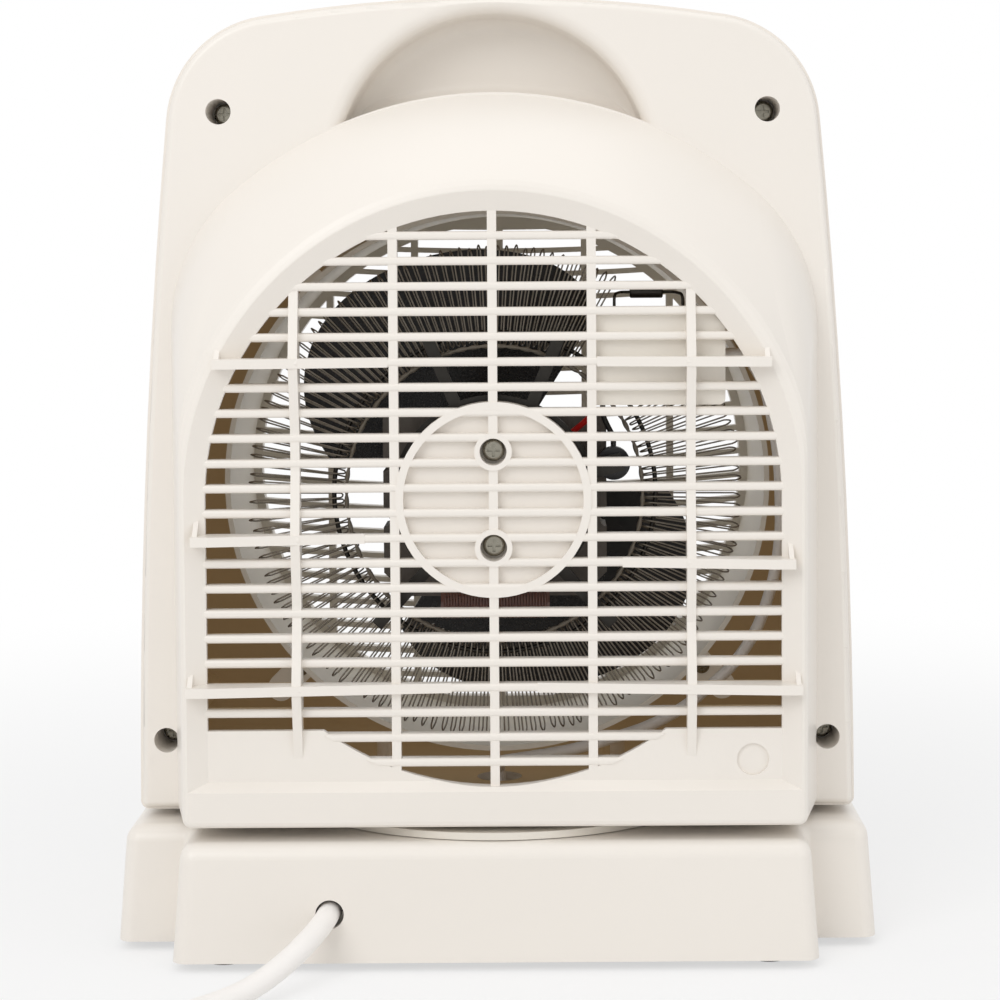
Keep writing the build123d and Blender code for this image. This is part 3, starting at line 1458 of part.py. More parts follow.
with BuildPart() as stator_winding:
    half_run = window_half_width - winding_clearance
    with BuildSketch(Plane.YZ.offset(-half_run)) as winding_section:
        with Locations((stator_front + stator_length / 2, fan_axis - limb_drop)):
            Rectangle(stator_length + 2 * winding_wall, limb_height + 2 * winding_wall)
        fillet(winding_section.vertices(), radius=winding_round)
        with Locations((stator_front + stator_length / 2, fan_axis - limb_drop)):
            Rectangle(stator_length + 2 * winding_clearance, limb_height + 2 * winding_clearance,
                      mode=Mode.SUBTRACT)
    extrude(amount=2 * half_run)
pieces["stator_winding"] = stator_winding.part

with BuildPart() as stack_bolts:
    bolt = pan_screw(bolt_head_radius, bolt_head_height, stack_bolt_radius,
                     plate_front - bolt_end_gap - front_plate_front)
    with Locations(*[Plane(origin=(x, front_plate_front, fan_axis), z_dir=(0, -1, 0))
                     for x, z in bolt_places]):
        add(bolt)
pieces["stack_bolts"] = stack_bolts.part

with BuildPart() as rotor:
    with BuildSketch(on_axis(stator_front + (stator_length + rotor_length) / 2)):
        Circle(rotor_radius)
        Circle(motor_shaft_radius, mode=Mode.SUBTRACT)
    extrude(amount=rotor_length)
pieces["rotor"] = rotor.part

with BuildPart() as motor_shaft:
    with BuildSketch(on_axis(motor_shaft_back)):
        Circle(motor_shaft_radius)
    extrude(amount=motor_shaft_back - motor_shaft_front)
pieces["motor_shaft"] = motor_shaft.part

# Fan with two wide blades
with BuildPart() as blade_sheet:
    for share in (0, 0.25, 0.5, 0.75, 1):
        turn = math.radians(blade_first_angle + share * blade_sweep)
        height = fan_middle + (share - 0.5) * fan_pitch_rise
        with BuildSketch(Plane(origin=(0, height, fan_axis), x_dir=(-math.cos(turn), 0, math.sin(turn)),
                               z_dir=(math.sin(turn), 0, math.cos(turn)))):
            with Locations(((blade_root_radius + blade_outer_radius) / 2, 0)):
                Rectangle(blade_outer_radius - blade_root_radius, blade_thick)
    loft()
    with BuildSketch(on_axis(fan_middle + fan_pitch_rise)):
        with BuildLine():
            edge = [(-r * math.cos(math.radians(a)), r * math.sin(math.radians(a))) for a, r in blade_edge]
            root = [(-blade_root_radius * math.cos(math.radians(a)),
                     blade_root_radius * math.sin(math.radians(a))) for a in (blade_edge[-1][0], blade_edge[0][0])]
            Spline(*edge)
            Polyline(edge[-1], root[0], root[1], edge[0])
        make_face()
    extrude(amount=2 * fan_pitch_rise, mode=Mode.INTERSECT)

with BuildPart() as fan_blades:
    with BuildSketch(on_axis(fan_middle + hub_cap_length / 2)):
        Circle(hub_cap_radius)
    extrude(amount=hub_cap_length)
    fillet(fan_blades.faces().sort_by(Axis.Y)[0].edges(), radius=1.5)
    add([blade_sheet.part, blade_sheet.part.rotate(Axis((0, 0, fan_axis), (0, 1, 0)), 180)])
    with BuildSketch(on_axis(fan_middle + hub_cap_length / 2)):
        Circle(motor_shaft_radius)
    extrude(amount=hub_cap_length, mode=Mode.SUBTRACT)
pieces["fan_blades"] = fan_blades.part

with BuildPart() as fan_nut:
    with BuildSketch(on_axis(fan_middle - hub_cap_length / 2)):
        RegularPolygon(fan_nut_radius, 6)
        Circle(motor_shaft_radius, mode=Mode.SUBTRACT)
    extrude(amount=fan_nut_thick)
pieces["fan_nut"] = fan_nut.part


def spoke(turn, radius, depth):
    """Point at this turn in degrees and radius from the fan's axis."""
    x, z = around(radius, [turn])[0]
    return Vector(x, depth, fan_axis + z)


# Heating element: one wire wound in long flat loops
leg_front = element_depth - element_leg_offset
leg_back = element_depth + element_leg_offset
terminal_face = terminal_radius - terminal_half
element_last_angle = element_first_angle + element_turns * element_step
half_step = element_step / 2
loops = [(spoke(element_first_angle - half_step, terminal_face, leg_back),
          -spoke(element_first_angle - half_step, 1, 0) + Vector(0, 0, fan_axis), True),
         (spoke(element_first_angle - half_step, element_inner, leg_back),
          -spoke(element_first_angle - half_step, 1, 0) + Vector(0, 0, fan_axis), False)]
for turn_number in range(element_turns):
    turn = element_first_angle + turn_number * element_step
    outward = spoke(turn, 1, 0) - Vector(0, 0, fan_axis)
    inward = Vector(0, 0, fan_axis) - spoke(turn + half_step, 1, 0)
    loops += [(spoke(turn, element_inner, leg_front), outward, True),
              (spoke(turn, element_outer, leg_front), outward, False),
              (spoke(turn + half_step, element_outer, leg_back), inward, True),
              (spoke(turn + half_step, element_inner, leg_back), inward, False)]
outward = spoke(element_last_angle, 1, 0) - Vector(0, 0, fan_axis)
loops += [(spoke(element_last_angle, element_inner, leg_front), outward, True),
          (spoke(element_last_angle, terminal_face, leg_front), outward, True)]
pieces["element_winding"], element_path = wound_wire(loops, element_wire_radius)

with BuildPart() as element_rings:
    for radius, depth in ((carrier_ring_radius, element_depth), (second_ring_radius, second_ring_depth)):
        with Locations(Plane(origin=(0, depth, fan_axis), z_dir=(0, 1, 0))):
            Torus(radius, ring_wire_radius)
pieces["element_rings"] = element_rings.part

# Mica cards that carry the rings
with BuildPart() as mica_cards:
    for angle in card_angles:
        x, z = around(1, [angle])[0]
        card_plane = Plane(origin=(0, 0, fan_axis), x_dir=(x, 0, z), z_dir=(-z, 0, x))
        with BuildSketch(card_plane):
            with Locations(((card_inner + arm_reach) / 2, -(card_front + plate_front) / 2)):
                Rectangle(arm_reach - card_inner, plate_front - card_front)
            with Locations((carrier_ring_radius, -element_depth), (second_ring_radius, -second_ring_depth)):
                Circle(ring_wire_radius + ring_hole_clearance, mode=Mode.SUBTRACT)
        extrude(amount=card_thick / 2, both=True)
pieces["mica_cards"] = mica_cards.part

# Connection box with its lid and the two posts the element ends on
box_front = bar_front - box_depth
box_middle = ((box_left + box_right) / 2, (box_bottom + box_top) / 2)
with BuildPart() as connection_box:
    with BuildSketch(facing_front(bar_front)) as box_outline:
        with Locations(box_middle):
            RectangleRounded(box_right - box_left, box_top - box_bottom, box_corner)
    extrude(amount=box_depth - box_lid_thick)
    with BuildSketch(facing_front(bar_front - box_wall)):
        offset(box_outline.sketch, amount=-box_wall)
    extrude(amount=box_depth, mode=Mode.SUBTRACT)
pieces["connection_box"] = connection_box.part

with BuildPart() as box_lid:
    with BuildSketch(facing_front(box_front + box_lid_thick)):
        with Locations(box_middle):
            RectangleRounded(box_right - box_left, box_top - box_bottom, box_corner)
    extrude(amount=box_lid_thick)
pieces["box_lid"] = box_lid.part

with BuildPart() as element_terminals:
    with BuildSketch(on_axis(box_front)):
        with Locations(*[Location(around(terminal_radius, [a])[0], a)
                         for a in (element_first_angle - half_step, element_last_angle)]):
            Rectangle(2 * terminal_half, 2 * terminal_half)
    extrude(amount=box_front - terminal_front)
pieces["element_terminals"] = element_terminals.part

# Thermal fuse with its two thin leads
fuse_left = fuse_place[0] - fuse_length / 2
fuse_right = fuse_place[0] + fuse_length / 2
with BuildPart() as thermal_fuse:
    with BuildSketch(Plane.YZ.offset(fuse_left)):
        with Locations(fuse_place[1:]):
            Circle(fuse_radius)
    extrude(amount=fuse_length)
    fillet(thermal_fuse.edges(), radius=0.6)
    add(lead_tube([(fuse_left, *fuse_place[1:]), (fuse_left - 3.5, *fuse_place[1:]), (-62.6, 58, 219.8),
                   (-62.6, 58, box_top)], fuse_lead_radius))
    add(lead_tube([(fuse_right, *fuse_place[1:]), (fuse_right + 3, *fuse_place[1:]), (-40, 58, 219.8),
                   (-40, 58, box_top)], fuse_lead_radius))
pieces["thermal_fuse"] = thermal_fuse.part

# Thermal cut-out on the motor plate
cutout_x, cutout_z = around(cutout_distance, [cutout_angle])[0]
with BuildPart() as thermal_cutout:
    with BuildSketch(on_axis(plate_front)):
        with Locations((cutout_x, cutout_z)):
            Circle(cutout_radius)
    extrude(amount=cutout_thick)
    fillet(thermal_cutout.faces().sort_by(Axis.Y)[0].edges(), radius=0.8)
pieces["thermal_cutout"] = thermal_cutout.part

# Leads between box, cut-out, motor and base
cutout_top = fan_axis + cutout_z + cutout_radius
winding_top = fan_axis - limb_drop + limb_height / 2 + winding_wall
pieces["cutout_lead"] = lead_tube([(-36, 60, box_bottom), (-36, 60, 180), (-37.8, 58, 176),
                                   (cutout_x, 56, 172.6), (cutout_x, 56, cutout_top)], cutout_lead_radius)
pieces["motor_lead"] = lead_tube([(-32.8, 60, box_bottom), (-32.8, 60, 180.4), (-28.5, 57, 176.2),
                                  (-21, 53.8, 170.5), (-14.6, 51, 160), (-12, 49.6, 148),
                                  (-12, 49.6, winding_top)], motor_lead_radius)
pieces["inner_lead"] = lead_tube([(0, 0, leads_meet), (0, 0, 50), (0, 10, 54.2), (-7, 21, 57.5),
                                  (-28, 27, 62), (-60, 27, 72), (-88, 26, 96), (-98, 30, 130), (-96, 42, 166),
                                  (-90, 54, 190), (-83.5, 60, 200), (box_left, 60, 200)], inner_lead_radius)
pieces["supply_lead"] = lead_tube([(lead_exit[0], terminal_block_back - terminal_block_size[1], lead_exit[1]),
                                   (lead_exit[0], terminal_block_back - terminal_block_size[1] - 7, lead_exit[1]),
                                   (50, 29, 17), (38, 18, 13),
                                   (20, 9, 10.5), (5, 2.2, 12), (0, 0, 19), (0, 0, leads_meet)],
                                  inner_lead_radius)

# Mains lead: a free run over the floor, then a coil of two layers
coil_centre = (coil_centre_x, base_core_half_depth + coil_distance)
coil_start = (coil_centre[0] + coil_outer, coil_centre[1])
cord_end = (coil_start[0], coil_start[1] - 2 * lead_radius, coil_floor)
cord_bends = [(0, -1, 18.8), (4.4, 13, 15.4), (11.9, 24.5, 10.1), (21.9, 36.5, 5.4), (34.9, 48.5, 3.7),
              (49.9, 64, 3.7), (59.9, 84, 4.2)]
cord_route = [(lead_exit[0], terminal_block_back, lead_exit[1])]
cord_route += [(lead_exit[0] + x, base_core_half_depth + y, z) for x, y, z in cord_bends]
cord_route += [(coil_start[0], coil_start[1] - cord_straight, coil_floor), cord_end]
pieces["mains_cord"] = lead_tube(cord_route, lead_radius)


def coil_station(turn):
    """Place, direction and height of the coiled lead after this many degrees."""
    inner = coil_outer - coil_pitch * coil_turns_in
    in_end = 360 * coil_turns_in
    out_start = in_end + 180
    if turn <= in_end:
        radius = coil_outer - coil_pitch * turn / 360
        lift = 0
    elif turn < out_start:
        share = (turn - in_end) / 180
        radius = inner - coil_dip * math.sin(math.pi * share)
        lift = coil_climb * share ** 2 * (3 - 2 * share)
    else:
        radius = inner + coil_pitch * (turn - out_start) / 360
        lift = coil_climb
    x, y = around(radius, [turn])[0]
    return Vector(coil_centre[0] + x, coil_centre[1] + y, coil_floor + lift)


coil_end_turn = 360 * (coil_turns_in + coil_turns_out) + 180
coil_count = int(coil_end_turn / coil_step)
coil_stations = [(Vector(*cord_end), Vector(0, 1, 0), True), (coil_station(0), Vector(0, 1, 0), False)]
for number in range(1, coil_count):
    turn = number * coil_step
    way = (coil_station(turn + 0.5) - coil_station(turn - 0.5)).normalized()
    coil_stations.append((coil_station(turn), way, False))
plug_start = coil_station(coil_end_turn) - Vector(coil_tail, 0, 0)
coil_stations += [(coil_station(coil_end_turn), Vector(-1, 0, 0), True), (plug_start, Vector(-1, 0, 0), True)]
pieces["cord_coil"], coil_path = wound_wire(coil_stations, lead_radius)
print("coil gap", round(least_gap(coil_path, lead_radius, 2.0, 25.0), 2))

# Tie round the coil
with BuildPart() as cord_tie:
    tie_low = coil_floor - lead_radius - tie_bottom_gap
    tie_high = coil_floor + coil_climb + lead_radius + tie_clearance
    tie_near = coil_outer - coil_pitch * (coil_turns_in - tie_angle / 360) - lead_radius - tie_clearance
    tie_far = coil_outer + lead_radius + tie_clearance
    tie_x, tie_y = around(1, [tie_angle])[0]
    with BuildSketch(Plane(origin=(coil_centre[0], coil_centre[1], 0), x_dir=(tie_x, tie_y, 0),
                           z_dir=(tie_y, -tie_x, 0))):
        with Locations(((tie_near + tie_far) / 2, (tie_low + tie_high) / 2)):
            RectangleRounded(tie_far - tie_near + 2 * tie_thick, tie_high - tie_low + 2 * tie_thick,
                             2 + tie_thick)
            RectangleRounded(tie_far - tie_near, tie_high - tie_low, 2, mode=Mode.SUBTRACT)
    extrude(amount=tie_width / 2, both=True)
pieces["cord_tie"] = cord_tie.part

# Plug
plug_height = plug_start.Z
plug_back = plug_start.X - relief_length
plug_face = plug_back - plug_length
with BuildPart() as plug:
    with BuildSketch(Plane(origin=tuple(plug_start), x_dir=(0, 1, 0), z_dir=(-1, 0, 0))):
        Circle(relief_start)
    extrude(amount=relief_length + 1, taper=-relief_draft)
    with BuildSketch(Plane(origin=(plug_back, plug_start.Y, plug_height), x_dir=(0, 1, 0), z_dir=(-1, 0, 0))):
        RectangleRounded(2 * plug_half_width, 2 * plug_height, plug_round)
    extrude(amount=plug_length)
    fillet(plug.faces().sort_by(Axis.X)[0].edges(), radius=plug_end_round)
pieces["plug"] = plug.part

with BuildPart() as plug_pins:
    with BuildSketch(Plane(origin=(plug_face, plug_start.Y, plug_height), x_dir=(0, 1, 0), z_dir=(-1, 0, 0))):
        with Locations((-pin_spacing / 2, 0), (pin_spacing / 2, 0)):
            Circle(pin_radius)
    extrude(amount=pin_length)
    fillet(plug_pins.faces().sort_by(Axis.X)[:2].edges(), radius=1.2)
pieces["plug_pins"] = plug_pins.part

for label, piece in pieces.items():
    piece.label = label
    export_step(piece, f"parts/{label}.step")
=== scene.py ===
"""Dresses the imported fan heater: finishes, lead, heating wire, motor winding, dial marks and stage."""
import json
import math
import random

import bpy
from bpy.props import FloatProperty, FloatVectorProperty, IntProperty, PointerProperty
from mathutils import Matrix, Vector


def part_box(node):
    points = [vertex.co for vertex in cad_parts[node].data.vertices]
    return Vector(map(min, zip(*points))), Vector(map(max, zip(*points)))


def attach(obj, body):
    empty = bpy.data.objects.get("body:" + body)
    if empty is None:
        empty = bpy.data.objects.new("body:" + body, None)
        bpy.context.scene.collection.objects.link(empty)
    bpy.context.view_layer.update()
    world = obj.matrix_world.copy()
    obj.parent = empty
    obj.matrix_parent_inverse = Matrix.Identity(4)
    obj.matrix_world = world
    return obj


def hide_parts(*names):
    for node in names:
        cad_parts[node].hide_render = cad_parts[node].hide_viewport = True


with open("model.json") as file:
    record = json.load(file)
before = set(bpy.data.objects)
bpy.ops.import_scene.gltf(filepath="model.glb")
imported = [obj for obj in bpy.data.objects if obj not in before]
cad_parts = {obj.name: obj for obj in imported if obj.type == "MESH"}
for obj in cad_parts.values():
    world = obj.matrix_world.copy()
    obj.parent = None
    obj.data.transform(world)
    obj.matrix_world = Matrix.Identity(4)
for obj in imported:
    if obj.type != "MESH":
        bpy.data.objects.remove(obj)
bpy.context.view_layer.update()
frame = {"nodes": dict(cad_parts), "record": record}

bl_info = {
    "name": "Fan heater dressing",
    "version": (1, 0, 0),
    "blender": (4, 5, 0),
    "location": "3D View > Sidebar > Heater",
    "description": "Finishes, wire, lead and stage for a packed fan heater",
    "category": "Object",
}

MM = 0.001
FAN_AXIS = 0.1533
KNOB_OFFSET = 46 * MM
KNOB_HEIGHT = 286 * MM


def srgb(red, green, blue):
    """Linear colour from the 0 to 255 values that a colour picker shows."""
    out = []
    for value in (red, green, blue):
        share = value / 255
        out.append(share / 12.92 if share <= 0.04045 else ((share + 0.055) / 1.055) ** 2.4)
    return tuple(out)


class HeaterColours(bpy.types.PropertyGroup):
    """Colours of the visible finishes."""
    shell: FloatVectorProperty(name="Shell", description="Housing, rear cover and base", subtype="COLOR",
                               size=3, min=0, max=1, default=srgb(239, 233, 225))
    grille: FloatVectorProperty(name="Front grille", description="Front grille and turntable",
                                subtype="COLOR", size=3, min=0, max=1, default=srgb(232, 226, 215))
    # Painted shade: the duct's colour is darker than the shell's to stand in for the shade inside the body.
    duct_shaded: FloatVectorProperty(name="Duct", description="Air duct round the fan", subtype="COLOR",
                              size=3, min=0, max=1, default=srgb(226, 220, 208))
    fan: FloatVectorProperty(name="Fan", description="Fan blades and dark controls", subtype="COLOR",
                             size=3, min=0, max=1, default=srgb(17, 16, 17))
    box: FloatVectorProperty(name="Connection box", description="Box behind the bars", subtype="COLOR",
                             size=3, min=0, max=1, default=srgb(238, 233, 224))
    lead: FloatVectorProperty(name="Mains lead", description="Sheath of the mains lead", subtype="COLOR",
                              size=3, min=0, max=1, default=srgb(249, 246, 243))
    wire: FloatVectorProperty(name="Heating wire", description="Wire of the element", subtype="COLOR",
                              size=3, min=0, max=1, default=srgb(150, 143, 133))


class HeaterSizes(bpy.types.PropertyGroup):
    """Sizes of the pieces that are made here."""
    lead_radius: FloatProperty(name="Lead radius", description="Radius of the mains lead", unit="LENGTH",
                               default=3.7 * MM, min=0.001)
    wire_loops: IntProperty(name="Wire loops", description="Loops of the heating wire", default=150, min=20)
    wire_radius: FloatProperty(name="Wire radius", description="Radius of the heating wire", unit="LENGTH",
                               default=0.28 * MM, min=0.0001)
    winding_turns: IntProperty(name="Winding turns", description="Turns of the motor winding that show",
                               default=36, min=4)
    lens: FloatProperty(name="Lens", description="Focal length of the camera on a 36 mm frame",
                        default=85.89, min=20)
    key_power: FloatProperty(name="Key light", description="Power of the main lamp", unit="POWER",
                             default=8.0, min=0)
    room_level: FloatProperty(name="Room light", description="Even light from all round", default=0.68,
                              min=0)


# ---- Finishes

def new_group(name, inputs, outputs):
    """Shader group with these (name, socket type, default) inputs and (name, socket type) outputs."""
    tree = bpy.data.node_groups.new(name, "ShaderNodeTree")
    for label, kind, default in inputs:
        socket = tree.interface.new_socket(name=label, in_out="INPUT", socket_type=kind)
        socket.default_value = default
    for label, kind in outputs:
        tree.interface.new_socket(name=label, in_out="OUTPUT", socket_type=kind)
    return tree, tree.nodes.new("NodeGroupInput"), tree.nodes.new("NodeGroupOutput")


def add_math(tree, operation, first, second):
    """Math node; each operand is a socket or a number."""
    node = tree.nodes.new("ShaderNodeMath")
    node.operation = operation
    for slot, value in zip(node.inputs, (first, second)):
        if isinstance(value, bpy.types.NodeSocket):
            tree.links.new(value, slot)
        else:
            slot.default_value = value
    return node.outputs[0]


def object_noise(tree, scale, detail, roughness=0.5, stretch=None):
    """Noise in the piece's own coordinates; scale is a socket or a number."""
    place = tree.nodes.new("ShaderNodeTexCoord").outputs["Object"]
    if stretch:
        mapping = tree.nodes.new("ShaderNodeMapping")
        mapping.inputs["Scale"].default_value = stretch
        tree.links.new(place, mapping.inputs["Vector"])
        place = mapping.outputs["Vector"]
    noise = tree.nodes.new("ShaderNodeTexNoise")
    noise.inputs["Detail"].default_value = detail
    noise.inputs["Roughness"].default_value = roughness
    tree.links.new(place, noise.inputs["Vector"])
    if isinstance(scale, bpy.types.NodeSocket):
        tree.links.new(scale, noise.inputs["Scale"])
    else:
        noise.inputs["Scale"].default_value = scale
    return noise.outputs["Fac"]


def surface_group(name, stretch=None):
    """Group that varies a colour and roughness softly and gives a fine height for a bump."""
    tree, source, sink = new_group(
        name,
        [("Colour", "NodeSocketColor", (0.8, 0.8, 0.8, 1)), ("Shade", "NodeSocketFloat", 0.05),
         ("Roughness", "NodeSocketFloat", 0.4), ("Roughness spread", "NodeSocketFloat", 0.1),
         ("Grain", "NodeSocketFloat", 1500.0)],
        [("Colour", "NodeSocketColor"), ("Roughness", "NodeSocketFloat"), ("Height", "NodeSocketFloat")])
    broad = object_noise(tree, 22.0, 4.0)
    grain = object_noise(tree, source.outputs["Grain"], 3.0, 0.6, stretch)
    centred = add_math(tree, "SUBTRACT", broad, 0.5)
    dim = add_math(tree, "SUBTRACT", 1.0, add_math(tree, "MULTIPLY", centred, source.outputs["Shade"]))
    tint = tree.nodes.new("ShaderNodeVectorMath")
    tint.operation = "SCALE"
    tree.links.new(source.outputs["Colour"], tint.inputs[0])
    tree.links.new(dim, tint.inputs["Scale"])
    tree.links.new(tint.outputs[0], sink.inputs["Colour"])
    both = add_math(tree, "ADD", centred, add_math(tree, "SUBTRACT", grain, 0.5))
    rough = add_math(tree, "ADD", source.outputs["Roughness"],
                     add_math(tree, "MULTIPLY", both, source.outputs["Roughness spread"]))
    tree.links.new(rough, sink.inputs["Roughness"])
    tree.links.new(grain, sink.inputs["Height"])
    return tree


groups = {}
finishes = {}


def finish(name, colour, roughness, shade=0.05, spread=0.1, grain=1500.0, bump=0.05, depth=0.05 * MM,
           brushed=False, **shader):
    """Material with a varied surface; further values go on the shader's own sockets."""
    kind = "brushed_surface" if brushed else "moulded_surface"
    if kind not in groups:
        groups[kind] = surface_group(kind, (1, 1, 0.06) if brushed else None)
    material = bpy.data.materials.new(name)
    material.use_nodes = True
    tree = material.node_tree
    principled = tree.nodes["Principled BSDF"]
    surface = tree.nodes.new("ShaderNodeGroup")
    surface.node_tree = groups[kind]
    surface.inputs["Colour"].default_value = (*colour[:3], 1)
    surface.inputs["Shade"].default_value = shade
    surface.inputs["Roughness"].default_value = roughness
    surface.inputs["Roughness spread"].default_value = spread
    surface.inputs["Grain"].default_value = grain
    bump_node = tree.nodes.new("ShaderNodeBump")
    bump_node.inputs["Strength"].default_value = bump
    bump_node.inputs["Distance"].default_value = depth
    tree.links.new(surface.outputs["Colour"], principled.inputs["Base Color"])
    tree.links.new(surface.outputs["Roughness"], principled.inputs["Roughness"])
    tree.links.new(surface.outputs["Height"], bump_node.inputs["Height"])
    tree.links.new(bump_node.outputs["Normal"], principled.inputs["Normal"])
    for socket, value in shader.items():
        principled.inputs[socket.replace("_", " ")].default_value = value
    finishes[name] = material


def make_finishes(colours):
    """One material for each slot of the record, and those of the pieces made here."""
    finish("white_plastic", colours.shell, 0.34, shade=0.03, spread=0.12, grain=1800, bump=0.12)
    finish("grille_plastic", colours.grille, 0.38, shade=0.04, grain=1800, bump=0.1)
    finish("grey_plastic", srgb(196, 191, 183), 0.5, grain=1400, bump=0.2)
    finish("dark_plastic", colours.fan, 0.28, shade=0.2, spread=0.14, grain=900, bump=0.12)
    # Painted light: a faint emission makes the duct glow a little, standing in for studio light that its
    # thin walls pass; its colour is darker than the shell's to paint the shade inside the body.
    finish("duct_plastic", colours.duct_shaded, 0.5, shade=0.12, grain=900, bump=0.2,
           Emission_Color=(1.0, 0.94, 0.84, 1), Emission_Strength=0.10)
    # Painted shade and light: faces inside the body get a darker brown colour and a faint orange glow that
    # stand in for the dim, warm light bounced round the cavity.
    finish("painted_inner_shade", srgb(190, 170, 138), 0.6, shade=0.1, grain=900, bump=0.15,
           Emission_Color=(1.0, 0.68, 0.34, 1), Emission_Strength=0.04)
    finish("box_plastic", colours.box, 0.45, grain=1400, bump=0.12)
    finish("slide_plastic", srgb(226, 223, 214), 0.42, grain=1400, bump=0.1)
    finish("plug_plastic", srgb(236, 234, 230), 0.42, grain=1500, bump=0.25)
    finish("cord_sheath", colours.lead, 0.4, shade=0.04, grain=1200, bump=0.2)
    finish("red_lead", srgb(190, 26, 22), 0.35, grain=2000)
    finish("black_lead", srgb(26, 25, 25), 0.4, grain=2000)
    finish("rubber", srgb(28, 28, 28), 0.75, shade=0.2, grain=1100, bump=0.5, depth=0.1 * MM)
    finish("mica", srgb(208, 192, 158), 0.5, shade=0.3, grain=260, bump=0.3, depth=0.1 * MM)
    finish("ceramic", srgb(128, 120, 108), 0.4, shade=0.3, grain=700)
    finish("enamel", srgb(96, 50, 30), 0.3, shade=0.5, grain=1200, Coat_Weight=0.5)
    finish("lens", srgb(225, 96, 28), 0.16, shade=0.1, Transmission_Weight=0.55, IOR=1.49)
    finish("steel", srgb(66, 64, 61), 0.42, shade=0.2, spread=0.2, grain=900, brushed=True, Metallic=1.0)
    finish("zinc_screw", srgb(150, 146, 134), 0.3, shade=0.25, spread=0.2, grain=1500, Metallic=1.0)
    finish("lamination", srgb(96, 90, 84), 0.48, shade=0.4, spread=0.2, grain=2600, bump=0.6,
           depth=0.1 * MM, brushed=True, Metallic=0.8)
    finish("bronze", srgb(190, 142, 86), 0.45, shade=0.2, grain=1800, Metallic=1.0)
    finish("brass", srgb(206, 174, 104), 0.3, shade=0.15, grain=1500, Metallic=1.0)
    finish("chrome", srgb(216, 216, 218), 0.14, shade=0.05, spread=0.06, grain=900, Metallic=1.0)
    finish("alloy_wire", colours.wire, 0.42, shade=0.6, spread=0.2, grain=500, Metallic=0.85)
    finish("dial_print", srgb(70, 70, 72), 0.5, grain=1500)


def dress(piece, slot_name, body, replaced=()):
    """Gives a new piece its finish and body, and the CAD nodes that it stands for."""
    piece.data.materials.clear()
    piece.data.materials.append(finishes[slot_name])
    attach(piece, body)
    if replaced:
        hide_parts(*replaced)


def new_object(name, data):
    """Object for this data, linked to the scene."""
    piece = bpy.data.objects.new(name, data)
    bpy.context.scene.collection.objects.link(piece)
    return piece


def wire_curve(name, points, radius, kind="POLY", cyclic=False, sides=3):
    """Curve with a round section through or along these points."""
    data = bpy.data.curves.new(name, "CURVE")
    data.dimensions = "3D"
    data.bevel_depth = radius
    data.bevel_resolution = sides
    data.use_fill_caps = True
    spline = data.splines.new(kind)
    spline.points.add(len(points) - 1)
    for place, point in zip(spline.points, points):
        place.co = (*point, 1)
    spline.use_cyclic_u = cyclic
    if kind == "NURBS":
        spline.order_u = 3
        spline.use_endpoint_u = not cyclic
    return new_object(name, data)


def mesh_from_rings(name, rings, closed_loop=False):
    """Smooth mesh through rings of equally many points, with flat ends or joined into a loop."""
    count = len(rings[0])
    verts = [point for ring in rings for point in ring]
    last = len(rings) if closed_loop else len(rings) - 1
    faces = []
    for row in range(last):
        low = row * count
        high = ((row + 1) % len(rings)) * count
        for step in range(count):
            following = (step + 1) % count
            faces.append((low + step, low + following, high + following, high + step))
    if not closed_loop:
        faces.append(tuple(reversed(range(count))))
        faces.append(tuple(range((len(rings) - 1) * count, len(rings) * count)))
    data = bpy.data.meshes.new(name)
    data.from_pydata(verts, [], faces)
    data.validate()
    for polygon in data.polygons:
        polygon.use_smooth = True
    return new_object(name, data)


def on_fan_axis(turn, radius, depth):
    """Point at this turn in degrees and radius from the fan's axis, in metres."""
    angle = math.radians(turn)
    return Vector((radius * math.cos(angle), depth, FAN_AXIS + radius * math.sin(angle)))


# ---- Mains lead

ROUTE = [(54.1, 64, 18.8), (54.1, 79, 18.8), (58.5, 93, 15.4), (66, 104.5, 10.1), (76, 116.5, 5.4),
         (89, 128.5, 3.7), (104, 144, 3.7), (114, 164, 4.2), (118.5, 186, 4.7), (118.5, 209.6, 4.7)]
COIL_CENTRE = (69.0, 217.0)
COIL_OUTER = 49.5
COIL_PITCH = 7.9
COIL_TURNS_IN = 2.5
COIL_TURNS_OUT = 2.25
COIL_FLOOR = 4.7
COIL_CLIMB = 7.9
COIL_DIP = 1.4
COIL_STEP = 15.0
COIL_TAIL = 22.0
RELIEF_START = 2
RELIEF_LENGTH = 18
RELIEF_RADIUS = 4.78
RELIEF_TAPER = 7
RIB_HALF_WAVES = 12
RIB_HEIGHT = 0.75


def coil_point(turn):
    """Place of the coiled lead after this many degrees, in millimetres."""
    in_end = 360 * COIL_TURNS_IN
    out_start = in_end + 180
    inner = COIL_OUTER - COIL_PITCH * COIL_TURNS_IN
    if turn <= in_end:
        radius, lift = COIL_OUTER - COIL_PITCH * turn / 360, 0
    elif turn < out_start:
        share = (turn - in_end) / 180
        radius = inner - COIL_DIP * math.sin(math.pi * share)
        lift = COIL_CLIMB * share ** 2 * (3 - 2 * share)
    else:
        radius, lift = inner + COIL_PITCH * (turn - out_start) / 360, COIL_CLIMB
    angle = math.radians(turn)
    return (COIL_CENTRE[0] + radius * math.cos(angle), COIL_CENTRE[1] + radius * math.sin(angle),
            COIL_FLOOR + lift)


